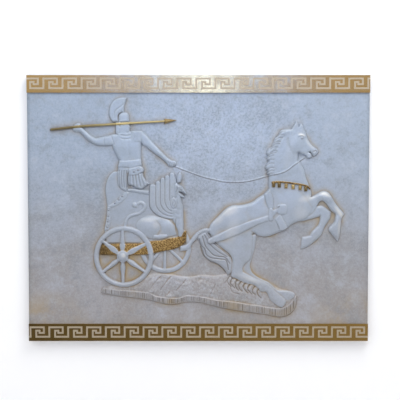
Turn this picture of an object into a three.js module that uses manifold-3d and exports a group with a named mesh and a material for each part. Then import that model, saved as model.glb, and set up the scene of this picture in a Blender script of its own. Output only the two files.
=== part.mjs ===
import * as THREE from 'three';
import { mergeVertices } from 'three/addons/utils/BufferGeometryUtils.js';
import Module from 'manifold-3d';

// Wall relief: a charioteer and a rearing horse on one cast slab, between two fret bands.
// Millimetres. The front faces -Y, up is +Z, and the origin is the middle of the flat back.

// Panel
const PANEL_WIDTH = 1000;
const PANEL_HEIGHT = 780;
const SLAB_THICKNESS = 24;
const EDGE_ROUND = 1.5;

// Fret bands
const BAND_HEIGHT = 51;
const BAND_THICKNESS = 5;
const BAND_GAP = 0.3;
const FRET_PITCH = 55.5556;
const FRET_RISE = 0.8;
const FRET_LINE = 5.2;

// Relief
const RELIEF_HEIGHT = 16;
const ROOT_DEPTH = SLAB_THICKNESS / 4;
const BROAD_ROUND = 4.2;
const HATCH_PITCH = 13;
const HATCH_WIDTH = 3;
const HATCH_DEPTH = 1.6;

// The picture fills the field between the bands and keeps its own proportions, so its places
// and sizes below are thousandths of its width
const PICTURE_ASPECT = 1.475;
const FIELD_HEIGHT = PANEL_HEIGHT - 2 * BAND_HEIGHT;
const FIT = Math.min(PANEL_WIDTH, FIELD_HEIGHT * PICTURE_ASPECT) / 1000;

const wasm = await Module();
wasm.setup();

// Turns a closed three.js geometry into a solid
function solid(geometry) {
  const bare = geometry.clone();
  bare.deleteAttribute('normal');
  bare.deleteAttribute('uv');
  const merged = mergeVertices(bare, 1e-4);
  return new wasm.Manifold(new wasm.Mesh({
    numProp: 3,
    vertProperties: new Float32Array(merged.attributes.position.array),
    triVerts: new Uint32Array(merged.index.array),
  }));
}

// Turns a solid back into a three.js geometry
function geometryOf(body) {
  const mesh = body.getMesh();
  const geometry = new THREE.BufferGeometry();
  geometry.setAttribute('position', new THREE.BufferAttribute(mesh.vertProperties, 3));
  geometry.setIndex(new THREE.BufferAttribute(mesh.triVerts, 1));
  geometry.computeVertexNormals();
  return geometry;
}

// Joins a list of solids, in pairs
function join(bodies) {
  let list = bodies;
  while (list.length > 1) {
    const next = [];
    for (let i = 0; i < list.length; i += 2) {
      next.push(i + 1 < list.length ? list[i].add(list[i + 1]) : list[i]);
    }
    list = next;
  }
  return list[0];
}

// An outline is a list of runs: each run is a smooth curve through its points, and the
// outline has a corner where two runs meet. steps is the number of pieces per stretch.
function outline(runs, steps) {
  const points = [];
  for (const run of runs) {
    const ends = run.map(([x, z]) => new THREE.Vector2(x * FIT, z * FIT));
    const count = run.length === 2 ? 1 : (run.length - 1) * steps;
    const curve = new THREE.SplineCurve(ends);
    points.push(...curve.getPoints(count).slice(0, -1));
  }
  if (THREE.ShapeUtils.isClockWise(points)) points.reverse();
  return points;
}

// Stands a shape drawn in XY on the slab's face: its depth points out of the wall
function stand(geometry, rise) {
  geometry.rotateX(Math.PI / 2);
  geometry.translate(0, -SLAB_THICKNESS - rise, 0);
  return solid(geometry);
}

// A raised form with a rounded edge; height is a share of the relief's height
function form(runs, height, round, steps = 1) {
  const rise = height * RELIEF_HEIGHT;
  const bevel = Math.min(rise * 0.6, round * 1.2);
  const geometry = new THREE.ExtrudeGeometry(new THREE.Shape(outline(runs, steps)), {
    depth: rise + ROOT_DEPTH - 2 * bevel,
    bevelThickness: bevel,
    bevelSize: round * FIT,
    bevelOffset: -round * FIT,
    bevelSegments: round > BROAD_ROUND ? 2 : 1,
    steps: 1,
  });
  geometry.translate(0, 0, bevel - ROOT_DEPTH);
  return stand(geometry, 0);
}

// A rounded swelling on an oval of the given half axes
function swelling(x, z, halfX, halfZ, height, turn = 0, sides = 12) {
  const geometry = new THREE.SphereGeometry(1, sides, 6);
  geometry.rotateX(Math.PI / 2);
  geometry.scale(halfX * FIT, halfZ * FIT, height * RELIEF_HEIGHT);
  geometry.rotateZ(turn);
  geometry.translate(x * FIT, z * FIT, 0);
  return stand(geometry, 0);
}

// A bar from one point to another
function bar(from, to, halfFrom, halfTo, height) {
  const a = new THREE.Vector2(...from);
  const b = new THREE.Vector2(...to);
  const side = b.clone().sub(a).normalize().rotateAround(new THREE.Vector2(), Math.PI / 2);
  const corner = (p, half) => [p.x + side.x * half, p.y + side.y * half];
  const loop = [corner(a, halfFrom), corner(b, halfTo), corner(b, -halfTo), corner(a, -halfFrom)];
  const runs = loop.map((p, i) => [p, loop[(i + 1) % loop.length]]);
  return form(runs, height, Math.min(halfFrom, halfTo) * 0.45);
}

// A strap or rod through a list of [x, z, half width]
function strap(stations, height, round) {
  const left = [];
  const right = [];
  stations.forEach(([x, z, half], i) => {
    const back = stations[Math.max(i - 1, 0)];
    const ahead = stations[Math.min(i + 1, stations.length - 1)];
    const angle = Math.atan2(ahead[1] - back[1], ahead[0] - back[0]) + Math.PI / 2;
    left.push([x + half * Math.cos(angle), z + half * Math.sin(angle)]);
    right.unshift([x - half * Math.cos(angle), z - half * Math.sin(angle)]);
  });
  const ends = [[left[left.length - 1], right[0]], [right[right.length - 1], left[0]]];
  return form([left, ends[0], right, ends[1]], height, round);
}

// A wheel's ring, turned about its own axle, with an oval stretch
function ring(wheel, height, sides) {
  const [outerX, outerZ] = wheel.outer;
  const rim = wheel.rim / outerX;
  const edge = rim * 0.22;
  const rise = height * RELIEF_HEIGHT;
  const profile = [
    [1 - rim, -ROOT_DEPTH], [1, -ROOT_DEPTH], [1, rise * 0.6], [1 - edge, rise],
    [1 - rim + edge, rise], [1 - rim, rise * 0.6], [1 - rim, -ROOT_DEPTH],
  ].map(([r, y]) => new THREE.Vector2(r, y));
  const geometry = new THREE.LatheGeometry(profile, sides);
  geometry.scale(outerX * FIT, 1, outerZ * FIT);
  geometry.rotateX(Math.PI);
  geometry.translate(wheel.centre[0] * FIT, -SLAB_THICKNESS, wheel.centre[1] * FIT);
  return solid(geometry);
}

// The drawing: x runs right and z up from the middle of the sheet

// Ground: a hatched front lip under a slope that runs back into the slab
const lipShare = 0.44;
const lipTop = [
  [-284, -240], [-257, -235], [-200, -241], [-147, -247], [-127, -256], [-98, -261],
  [-66, -263], [-33, -255], [-1, -257], [56, -269], [137, -279], [214, -291], [239, -293],
  [259, -287], [275, -273], [289, -257],
];
const lipLow = [
  [289, -257], [286, -286], [279, -300], [263, -313], [243, -318], [198, -311],
  [117, -300], [36, -283], [-17, -273], [-42, -275], [-90, -281], [-115, -276],
  [-147, -268], [-229, -257], [-284, -247], [-284, -240],
];
const slopeTop = [
  [289, -257], [262, -240], [235, -233], [200, -212], [150, -205], [84, -192],
  [-60, -196], [-100, -190], [-150, -195], [-205, -218], [-262, -228], [-284, -240],
];

// Chariot
const nearWheel = { centre: [-219, -140], outer: [88, 90], rim: 15.5 };
const nearHub = [-222.5, -139.5];
const hubRadius = 18;
const nearSpokes = [
  [-222.5, -66], [-221.5, -214], [-158, -104], [-283, -92], [-279, -183], [-159, -183],
];
const farWheel = { centre: [-97, -113], outer: [76, 76], rim: 14 };
const farSpokes = [[-99, -180], [-42, -160], [-140, -158]];
const carSide = [
  [[-239, 110], [-254, 104], [-265.6, 88], [-271.5, 64], [-270, 36], [-267, 8],
    [-268, -15], [-276, -60]],
  [[-276, -60], [-270, -100]],
  [[-270, -100], [-60, -100]],
  [[-60, -100], [-60, 40]],
  [[-60, 40], [-142, 44]],
  [[-142, 44], [-178, 52], [-205, 58]],
  [[-205, 58], [-212, 108]],
  [[-212, 108], [-239, 110]],
];
const rearStrip = [
  [[-267, 6], [-268, -15], [-276, -62]],
  [[-276, -62], [-262, -62]],
  [[-262, -62], [-257, -36], [-258, 6]],
  [[-258, 6], [-267, 6]],
];
const sideStrap = [
  [[-213, 53], [-240, 25], [-265, 8]],
  [[-265, 8], [-246, 7], [-228, 17], [-203, 47]],
  [[-203, 47], [-213, 53]],
];
const railing = [
  [[-208, 60], [-190, 60], [-143, 55]],
  [[-143, 55], [-143, 42]],
  [[-143, 42], [-188, 50], [-206, 51]],
  [[-206, 51], [-208, 60]],
];
const studs = [
  [-244, 18], [-233, 28], [-222.5, 38], [-262, -3], [-263.5, -20], [-265, -36], [-267, -52],
];
const studRadius = 2.6;
const floorBand = [
  [[-290, -135], [-283, -104]],
  [[-283, -104], [-160, -99], [-134, -93], [-87, -86], [-55, -79], [-41, -65]],
  [[-41, -65], [-35, -64]],
  [[-35, -64], [-35, -84], [-39, -98], [-49, -107], [-77, -119.5], [-128, -130],
    [-200, -135.5], [-290, -135]],
];
const pole = [
  [-50, -114, 8], [-35, -113, 9], [-24, -105, 10], [-15, -90, 9.5], [-4, -76, 8.5],
  [9, -66, 7.5], [25, -62.5, 7], [48, -70, 8],
];

// Griffin on the chariot's side
const griffinBody = [
  [[-182, -60], [-182, -44], [-172, -31], [-158, -23.6], [-140, -19], [-119, -22],
    [-84, -33], [-72, -45], [-62, -76]],
  [[-62, -76], [-108, -88], [-132, -89], [-160, -80], [-182, -60]],
];
const griffinChest = [
  [[-68, 74], [-67, 45], [-80, 28], [-84, 12], [-76, -15], [-68, -45], [-60, -80]],
  [[-60, -80], [-50, -80], [-44, -66], [-43, -30], [-44.7, 8], [-50, 28], [-56, 46]],
  [[-56, 46], [-60, 60], [-68, 74]],
];
const griffinHead = [
  [[-68, 80], [-55, 71], [-48, 67], [-42, 58], [-34, 42.5]],
  [[-34, 42.5], [-48, 50], [-55, 50]],
  [[-55, 50], [-50, 45], [-39, 33.5]],
  [[-39, 33.5], [-52, 36], [-62, 46], [-68, 60], [-68, 80]],
];
const griffinEars = [
  [[[-62, 76], [-63, 92], [-54, 108]], [[-54, 108], [-48, 96], [-52, 78]],
    [[-52, 78], [-62, 76]]],
  [[[-74, 72], [-76, 86], [-72, 99]], [[-72, 99], [-66, 90], [-64, 76]],
    [[-64, 76], [-74, 72]]],
];
const griffinHaunch = [-140, -52, 36, 32];
const griffinShoulder = [-92, -54, 28, 26];
const griffinFoot = [
  [[-133, -86], [-131, -77], [-105, -74], [-92, -75]],
  [[-92, -75], [-90, -81], [-115, -88], [-133, -86]],
];
const griffinTail = [
  [-215, -50, 5], [-211, -34, 5], [-203, -23, 5], [-190, -17, 4.5], [-174, -13, 4.5],
  [-162, -4, 4.5], [-157, 7, 4], [-161, 16, 3.5], [-171, 19, 3], [-180, 13, 3],
];
const tailBall = [-187, 12, 5];
const wingBoss = [-72, 18, 8, 15.5];
// Each gap between two feathers runs down from the knee and sweeps right to the wing's root
const featherGaps = [-142.8, -124.7, -110.8, -98, -84.1, -70];
const featherKnees = [16, 21, 23, 28, 36, 44];
const featherTips = [73, 82, 92, 99, 107];
const wingRoot = { x: -74, low: -30, step: 8 };
const featherGap = 1.8;

// Horse
const horse = [
  [[31, -58], [35, -46], [53, -26], [77, -2], [88, 6], [103, 11], [136, 14], [163, 24],
    [187, 41], [206, 60]],
  [[206, 60], [205, 100], [208, 140], [218, 172], [236, 203], [252, 222], [272, 232]],
  [[272, 232], [296, 200], [291, 141]],
  [[291, 141], [298, 138], [306.5, 121], [312, 101], [325, 64], [331, 46], [330, 36]],
  [[330, 36], [346, 44], [364, 52.5], [381, 48], [394, 29.5], [409, 8], [427, -16],
    [421, -26], [418.5, -43], [415.5, -70], [409, -96]],
  [[409, -96], [392.7, -76.7], [382, -59], [394, -42], [400, -26], [400, -13],
    [388.7, -4.7], [376.7, 12.7], [366, 23], [355.3, 21.3], [344.7, 3], [332.7, -11.3],
    [318, -23], [287, -39], [262, -55], [242, -66.6], [220, -75.4], [198, -81], [169, -74.5]],
  [[169, -74.5], [157.5, -77], [158, -99], [157, -120], [150.5, -148.5], [135, -164],
    [130, -174], [131, -184.5]],
  [[131, -184.5], [166, -203], [200, -218.6], [226, -242], [259, -271]],
  [[259, -271], [246, -291]],
  [[246, -291], [221, -277], [204, -251], [188, -243.5], [174, -231.6], [161, -223],
    [127, -213.5], [99, -200.5], [97.3, -185], [99, -154], [88, -130], [62, -109.5],
    [42, -87], [31, -58]],
];
const horseMasses = [
  [104, -44, 56, 50, 0.86, -0.3], [185, -22, 84, 46, 0.86, 0.05], [272, 8, 52, 52, 0.9, 0.2],
  [250, 140, 30, 78, 0.74, -0.25], [128, -118, 26, 60, 0.76, -0.15],
];
const farForeleg = [
  [[310, -36], [333, -28.7], [356, -22]],
  [[356, -22], [353, -43], [336.7, -62], [328, -76.7]],
  [[328, -76.7], [304.5, -82]],
  [[304.5, -82], [301, -117]],
  [[301, -117], [327, -107.3], [350, -88.7], [362, -75], [370, -54], [386, -28.7], [389, -8]],
  [[389, -8], [350, 10], [310, -36]],
];
const farHindLeg = [
  [[140, -80], [169, -74], [168, -99], [161, -132], [152, -166], [155, -180], [175, -200],
    [205, -215], [234, -239], [272, -243], [284, -250], [280, -262], [240, -262]],
  [[240, -262], [200, -235], [150, -205], [125, -190], [125, -150], [140, -80]],
];
const horseTail = [
  [[25, -66], [10, -70], [-3, -84], [7.6, -109], [18, -138], [36, -155], [62, -167],
    [80, -184], [86, -194]],
  [[86, -194], [101, -170], [90, -133], [60, -107], [25, -66]],
];
const horseHead = [
  [[266, 226], [276, 236], [292, 241], [306, 237], [315, 219], [320.5, 203.5], [332, 186.5],
    [346, 176], [350, 165]],
  [[350, 165], [340, 155.5], [334.5, 156.5], [325.5, 167]],
  [[325.5, 167], [313.5, 157], [292, 164], [276, 152], [268, 160], [262, 200], [266, 226]],
];
const horseCheek = [282, 190, 20, 30];
const horseChin = [322, 157, 9, 8.5];
const horseEars = [
  [[[270, 230], [279, 246], [287, 257]], [[287, 257], [293, 234]], [[293, 234], [270, 230]]],
  [[[292, 236], [295, 246], [299, 252]], [[299, 252], [306, 233]], [[306, 233], [292, 236]]],
];
const mane = [
  [[276, 234], [246, 232], [236, 223], [223, 207], [211, 180], [201, 170], [202, 155],
    [200, 146], [203, 139], [195, 123], [200, 100]],
  [[200, 100], [219, 100]],
  [[219, 100], [220, 153], [227.5, 178], [244, 206], [276, 224]],
  [[276, 224], [276, 234]],
];

// Harness
const shaft = [
  [[26, -90], [52, -76], [92.6, -57], [151, -35], [206, -18]],
  [[206, -18], [206, -35]],
  [[206, -35], [151, -57], [100, -81], [54.5, -97], [34, -102], [26, -90]],
];
const girth = [[201, 51, 9], [207, 24, 9], [212, 0, 8]];
const girthLow = [[231, -22, 8], [240, -40, 9], [250, -59, 9]];
const buckle = [212, -15, 7.5, 19];
const knot = [244, 0, 15.5, 15];
const tug = [
  [[217, -4], [232, 2]], [[232, 2], [231, -8]], [[231, -8], [218, -22]],
  [[218, -22], [217, -4]],
];
const collar = [
  [218, 75, 7.5], [236, 79, 5], [261, 76, 4.6], [280, 73, 4.6], [302, 69, 4.6], [318, 64, 4.6],
  [324, 57, 3.5],
];
const pendants = [
  [236, 67, 5], [256, 63.5, 6.5], [276, 61.5, 6.5], [297, 58.5, 6], [312, 56, 4.5],
];
const reins = [
  [-84, 129, 2.2], [-49, 117, 1.8], [-10, 103, 1.8], [20, 93, 1.8], [78, 80.7, 1.8],
  [122, 79.7, 1.8], [180, 91, 1.8], [214, 99, 2.2], [252, 110, 2.2], [281, 130, 2.2],
  [310, 151, 2.2],
];

// Charioteer
const crest = [
  [[-208, 325], [-227, 325.5], [-250, 313], [-260, 289], [-258, 266], [-250, 254]],
  [[-250, 254], [-232, 254]],
  [[-232, 254], [-231, 277], [-216.5, 282]],
  [[-216.5, 282], [-215.5, 298], [-208, 325]],
];
const helmet = [
  [[-232, 250], [-232.5, 272], [-218, 282.5], [-203, 276], [-201.5, 254]],
  [[-201.5, 254], [-232, 250]],
];
// Face in profile: brow, nose, lips and chin step out from a straight line by these shares
// of its height
const face = { top: 254, low: 223, front: -201.5, back: -229 };
const faceProfile = [
  [0, 0], [0.2, 0.02], [0.36, 0.13], [0.44, 0.03], [0.52, 0.08], [0.66, 0.04], [0.8, 0.07],
  [1, -0.12],
];
const neck = [
  [[-231, 226], [-208, 226]], [[-208, 226], [-208, 212]], [[-208, 212], [-231, 212]],
  [[-231, 212], [-231, 226]],
];
const hair = [
  [[-241, 254], [-241.5, 235], [-240, 219]], [[-240, 219], [-230, 218]],
  [[-230, 218], [-229, 254]], [[-229, 254], [-241, 254]],
];
const breast = [-205, 180, 34, 34];
const torso = [
  [[-252, 187], [-245, 169], [-231, 142]],
  [[-231, 142], [-235, 122], [-236, 110]],
  [[-236, 110], [-205, 104]],
  [[-205, 104], [-185, 98], [-168, 103], [-160, 114], [-167, 140], [-167, 180], [-163, 226]],
  [[-163, 226], [-171, 229], [-194, 229], [-205, 221], [-240, 219]],
  [[-240, 219], [-252, 217.5], [-252, 187]],
];
const spearArm = [
  [[-345, 249], [-361, 247], [-366, 234], [-361, 226.5], [-347, 225], [-331, 209],
    [-311, 193], [-288, 185.5], [-252, 186]],
  [[-252, 186], [-240, 200], [-238, 218.5]],
  [[-238, 218.5], [-278, 212], [-298, 208], [-318, 219.5], [-345, 249]],
];
const reinArm = [
  [[-172, 229], [-156, 220], [-136, 198.5], [-110.6, 171.5], [-84, 147], [-69, 149],
    [-62, 137], [-72, 125], [-87, 126], [-101.6, 142], [-127, 161.6], [-163, 188]],
  [[-163, 188], [-172, 205], [-172, 229]],
];
const shoulderFlap = [
  [[-194, 228], [-170, 229]], [[-170, 229], [-168, 197]], [[-168, 197], [-194, 197]],
  [[-194, 197], [-194, 228]],
];
const belt = [
  [[-231, 142], [-200, 142], [-167, 145]],
  [[-167, 145], [-165, 127]],
  [[-165, 127], [-191, 120], [-206, 121.5], [-235, 123]],
  [[-235, 123], [-231, 142]],
];
const beltTab = [
  [[-204, 118], [-172, 125], [-159.5, 113], [-176, 102], [-204, 100]],
  [[-204, 100], [-204, 118]],
];
const beltStuds = [[-187.5, 109, 3], [-175.5, 114.5, 3]];
const backSkirt = [
  [[-236.5, 112], [-236, 82], [-229.5, 62], [-210, 50]],
  [[-210, 50], [-208, 85], [-206, 120]],
  [[-206, 120], [-236.5, 112]],
];
const frontSkirt = [
  [[-206, 104], [-206, 80], [-203, 70]],
  [[-203, 70], [-192, 68], [-167, 58.5], [-142, 74]],
  [[-142, 74], [-156, 88], [-163, 106]],
  [[-163, 106], [-206, 104]],
];
// Pleats of the skirt: first foot x, step, count, top and low z
const backPleats = { x: -217, step: -5, lean: 0.4, count: 3, top: 106, low: 62 };
const frontPleats = { x: -193, step: 9.5, lean: 0.35, count: 4, top: 97, low: 70 };
const spear = [
  [-429, 232, 3.6], [-345, 241, 3.8], [-257, 247, 3.6], [-148, 253.5, 3.2], [-97, 256.5, 3],
];
const spearPoint = [[[-99, 264], [-62, 259.3]], [[-62, 259.3], [-99, 248]], [[-99, 248], [-99, 264]]];

// Height of the lip's two edges at x, from the same points that draw them
function level(points, x) {
  const inOrder = [...points].sort((a, b) => a[0] - b[0]);
  for (let i = 1; i < inOrder.length; i += 1) {
    const [x0, z0] = inOrder[i - 1];
    const [x1, z1] = inOrder[i];
    if (x <= x1) return z0 + ((z1 - z0) * (x - x0)) / Math.max(x1 - x0, 1e-6);
  }
  return inOrder[inOrder.length - 1][1];
}

// Ground slope: full height along the lip, sunk below the slab's face at its far edge
function groundSlope(height) {
  const shape = new THREE.Shape(outline([lipTop, [...slopeTop]], 1));
  const rise = height * RELIEF_HEIGHT;
  const geometry = new THREE.ExtrudeGeometry(shape, {
    depth: rise + ROOT_DEPTH, bevelEnabled: false, steps: 1,
  });
  geometry.translate(0, 0, -ROOT_DEPTH);
  const at = geometry.attributes.position;
  const farEdge = slopeTop.slice(1, -1);
  for (let i = 0; i < at.count; i += 1) {
    const isFar = farEdge.some(([x, z]) => (
      Math.hypot(at.getX(i) - x * FIT, at.getY(i) - z * FIT) < 0.01));
    if (isFar && at.getZ(i) > 0) at.setZ(i, -0.4);
  }
  return stand(geometry, 0);
}

// Upright grooves all along the lip
function hatchCuts() {
  const cuts = [];
  const first = lipTop[0][0] + HATCH_PITCH;
  const last = 262;
  for (let x = first; x < last; x += HATCH_PITCH) {
    const high = level(lipTop, x) - 2;
    const low = level(lipLow.slice(4, -1), x) + 2;
    const cut = new THREE.BoxGeometry(HATCH_WIDTH * FIT, (high - low) * FIT, HATCH_DEPTH * 2);
    cut.translate(x * FIT, ((high + low) / 2) * FIT, lipShare * RELIEF_HEIGHT);
    cuts.push(stand(cut, 0));
  }
  return join(cuts);
}
// Points down the gap at index i, from its tip to the wing's root
function gapLine(i, tip, shift) {
  const line = [[featherGaps[i] + shift, tip]];
  const knee = featherKnees[i];
  const low = wingRoot.low + wingRoot.step * i;
  for (let k = 0; k <= 4; k += 1) {
    const turn = (k / 4) * (Math.PI / 2);
    const x = featherGaps[i] + shift + (wingRoot.x - featherGaps[i]) * (1 - Math.cos(turn));
    line.push([x, knee + shift - (knee - low) * Math.sin(turn)]);
  }
  return line;
}

// One feather of the griffin's wing
function feather(i) {
  const half = (featherGaps[i + 1] - featherGaps[i] - featherGap) / 2;
  const middle = (featherGaps[i + 1] + featherGaps[i]) / 2;
  const springing = featherTips[i] - half;
  const left = gapLine(i, springing, featherGap / 2).reverse();
  const right = gapLine(i + 1, springing, -featherGap / 2);
  const tip = [];
  for (let k = 0; k <= 4; k += 1) {
    const turn = Math.PI * (1 - k / 4);
    tip.push([middle + half * Math.cos(turn), springing + half * Math.sin(turn)]);
  }
  const close = [right[right.length - 1], left[0]];
  return form([left, tip, right, close], 0.56, 1.6);
}

// Raised pleats of the skirt, side by side: they fan out towards the hem
function pleatBars({ x, step, lean, count, top, low }) {
  const bars = [];
  for (let i = 0; i < count; i += 1) {
    const foot = x + step * i;
    const waist = x + step * (count - 1) * 0.5 + step * lean * (i - (count - 1) * 0.5);
    bars.push(bar([waist, top], [foot, low], 1.4, 2.8, 0.7));
  }
  return bars;
}

// Face, closed behind the profile by a straight back
function faceForm() {
  const tall = face.top - face.low;
  const front = faceProfile.map(([down, out]) => [face.front + out * tall, face.top - down * tall]);
  const corners = [[face.back, face.low], [face.back, face.top]];
  const chin = front[front.length - 1];
  return form([front, [chin, corners[0]], corners, [corners[1], front[0]]], 0.5, 1.2);
}

const chariot = [
  ring(farWheel, 0.3, 24),
  ...farSpokes.map((end) => bar(farWheel.centre, end, 5, 4, 0.24)),
  form(carSide, 0.26, 1.5),
  form(rearStrip, 0.4, 1.5),
  form(sideStrap, 0.42, 1.5),
  form(railing, 0.46, 1.8),
  ...studs.map(([x, z]) => swelling(x, z, studRadius, studRadius, 0.56, 0, 6)),
  form(floorBand, 0.5, 2),
  strap(pole, 0.5, 4),
  ring(nearWheel, 0.64, 32),
  ...nearSpokes.map((end) => bar(nearHub, end, 6, 4.4, 0.54)),
  swelling(...nearHub, hubRadius, hubRadius, 0.96, 0, 16),
];

const griffin = [
  form(griffinBody, 0.5, 4),
  swelling(...griffinHaunch, 0.78, 0.1),
  swelling(...griffinShoulder, 0.7, -0.1),
  form(griffinFoot, 0.62, 2),
  ...featherTips.map((tip, i) => feather(i)),
  form(griffinChest, 0.6, 3.5),
  swelling(...wingBoss, 0.78, 0, 12),
  form(griffinHead, 0.62, 2),
  ...griffinEars.map((runs) => form(runs, 0.56, 1.6)),
  strap(griffinTail, 0.44, 1.6),
  swelling(tailBall[0], tailBall[1], tailBall[2], tailBall[2], 0.5, 0, 10),
];

const animal = [
  form(farHindLeg, 0.34, 2.5),
  form(farForeleg, 0.46, 4),
  form(horseTail, 0.46, 3),
  form(horse, 0.62, 4.5),
  ...horseMasses.map((mass) => swelling(...mass)),
  form(horseHead, 0.66, 4),
  swelling(...horseCheek, 0.84, -0.2),
  swelling(horseChin[0], horseChin[1], horseChin[2], horseChin[3], 0.6, 0, 12),
  ...horseEars.map((runs) => form(runs, 0.62, 1.8)),
  form(mane, 0.72, 2.5),
];

const harness = [
  form(shaft, 0.94, 4),
  strap(girth, 0.92, 2),
  strap(girthLow, 0.9, 2),
  form(tug, 0.92, 1.5),
  swelling(buckle[0], buckle[1], buckle[2], buckle[3], 1, 0, 12),
  swelling(knot[0], knot[1], knot[2], knot[3], 1, 0, 12),
  strap(collar, 0.86, 1.6),
  ...pendants.map(([x, z, half]) => swelling(x, z, half, half * 1.1, 0.95, 0, 8)),
  strap(reins, 0.16, 0.6),
];

const charioteer = [
  form(crest, 0.42, 2.5),
  form(neck, 0.4, 1),
  faceForm(),
  form(hair, 0.52, 1.2),
  form(helmet, 0.6, 3.5),
  form(torso, 0.56, 3.5),
  swelling(...breast, 0.68, 0, 14),
  form(spearArm, 0.54, 4),
  form(reinArm, 0.54, 4),
  form(shoulderFlap, 0.66, 1.2),
  form(belt, 0.64, 1.5),
  form(backSkirt, 0.56, 2),
  form(frontSkirt, 0.58, 2),
  ...pleatBars(backPleats),
  ...pleatBars(frontPleats),
  form(beltTab, 0.72, 2),
  ...beltStuds.map(([x, z, r]) => swelling(x, z, r, r, 0.82, 0, 6)),
  strap(spear, 0.58, 1.6),
  form(spearPoint, 0.58, 1.6),
];

// Slab with a slightly rounded front edge
function slabBody() {
  const halfX = PANEL_WIDTH / 2;
  const halfZ = PANEL_HEIGHT / 2;
  const shape = new THREE.Shape([
    new THREE.Vector2(-halfX, -halfZ), new THREE.Vector2(halfX, -halfZ),
    new THREE.Vector2(halfX, halfZ), new THREE.Vector2(-halfX, halfZ),
  ]);
  const full = new THREE.ExtrudeGeometry(shape, {
    depth: SLAB_THICKNESS - EDGE_ROUND, bevelThickness: EDGE_ROUND, bevelSize: EDGE_ROUND,
    bevelOffset: -EDGE_ROUND, bevelSegments: 2,
  });
  const cutBack = new THREE.BoxGeometry(PANEL_WIDTH * 2, PANEL_HEIGHT * 2, 20);
  cutBack.translate(0, 0, -10);
  full.rotateX(Math.PI / 2);
  cutBack.rotateX(Math.PI / 2);
  return solid(full).subtract(solid(cutBack));
}

// One fret band, drawn with its middle at the origin and its back on the XZ plane. Its key line
// is a longer run, moved along by a share of a repeat and cut off by the band's ends
function bandBody(shift) {
  const band = new THREE.BoxGeometry(PANEL_WIDTH, BAND_THICKNESS, BAND_HEIGHT);
  band.translate(0, -BAND_THICKNESS / 2, 0);
  const repeats = Math.ceil(PANEL_WIDTH / FRET_PITCH);
  // Heights of the line's four levels and places of its uprights, as shares of the band and
  // of one repeat
  const level4 = { top: 0.3, inner: 0.105, hook: -0.025, low: -0.25 };
  const upright = { riser: 0.03, inner: 0.335, hook: 0.51, outer: 0.74 };
  const line = [];
  const put = (repeat, share, height) => line.push(new THREE.Vector2(
    (repeat + share + shift) * FRET_PITCH - PANEL_WIDTH / 2, height * BAND_HEIGHT));
  for (let i = -1; i <= repeats; i += 1) {
    put(i, upright.riser, level4.top);
    put(i, upright.outer, level4.top);
    put(i, upright.outer, level4.hook);
    put(i, upright.hook, level4.hook);
    put(i, upright.hook, level4.inner);
    put(i, upright.inner, level4.inner);
    put(i, upright.inner, level4.low);
    put(i + 1, upright.riser, level4.low);
  }
  const side = (sign) => line.map((p, i) => {
    const into = p.clone().sub(line[Math.max(i - 1, 0)]).normalize();
    const out = line[Math.min(i + 1, line.length - 1)].clone().sub(p).normalize();
    const a = i === 0 ? out : into;
    const b = i === line.length - 1 ? into : out;
    const half = (sign * FRET_LINE) / 2;
    const straight = Math.abs(a.dot(b)) > 0.5;
    const shift = straight
      ? new THREE.Vector2(-a.y, a.x)
      : new THREE.Vector2(-a.y - b.y, a.x + b.x);
    return p.clone().addScaledVector(shift, half);
  });
  const shape = new THREE.Shape([...side(1), ...side(-1).reverse()]);
  const fret = new THREE.ExtrudeGeometry(shape, { depth: FRET_RISE + 1, bevelEnabled: false });
  fret.rotateX(Math.PI / 2);
  fret.translate(0, 1 - BAND_THICKNESS, 0);
  const ends = new THREE.BoxGeometry(PANEL_WIDTH, BAND_THICKNESS * 4, BAND_HEIGHT);
  return solid(band).add(solid(fret).intersect(solid(ends)));
}

const hatched = form([lipTop, lipLow], lipShare, 1.2).subtract(hatchCuts());
const relief = join([
  slabBody(), hatched, groundSlope(lipShare * 0.8), ...chariot, ...griffin, ...animal,
  ...harness, ...charioteer,
]);

const castPaint = new THREE.MeshStandardMaterial({
  color: 0xa9b0bb, roughness: 0.42, metalness: 0.35,
});
const gilding = new THREE.MeshStandardMaterial({
  color: 0xb9964e, roughness: 0.24, metalness: 0.9,
});

const group = new THREE.Group();

const panel = new THREE.Mesh(geometryOf(relief), castPaint);
panel.name = 'relief_panel';
group.add(panel);

for (const [name, sign, shift] of [
  ['key_band_top', 1, -0.137], ['key_band_bottom', -1, 0.06],
]) {
  const band = new THREE.Mesh(geometryOf(bandBody(shift)), gilding.clone());
  band.name = name;
  band.position.set(0, -SLAB_THICKNESS - BAND_GAP, (sign * (PANEL_HEIGHT - BAND_HEIGHT)) / 2);
  group.add(band);
}

export default group;
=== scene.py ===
import math

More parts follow.
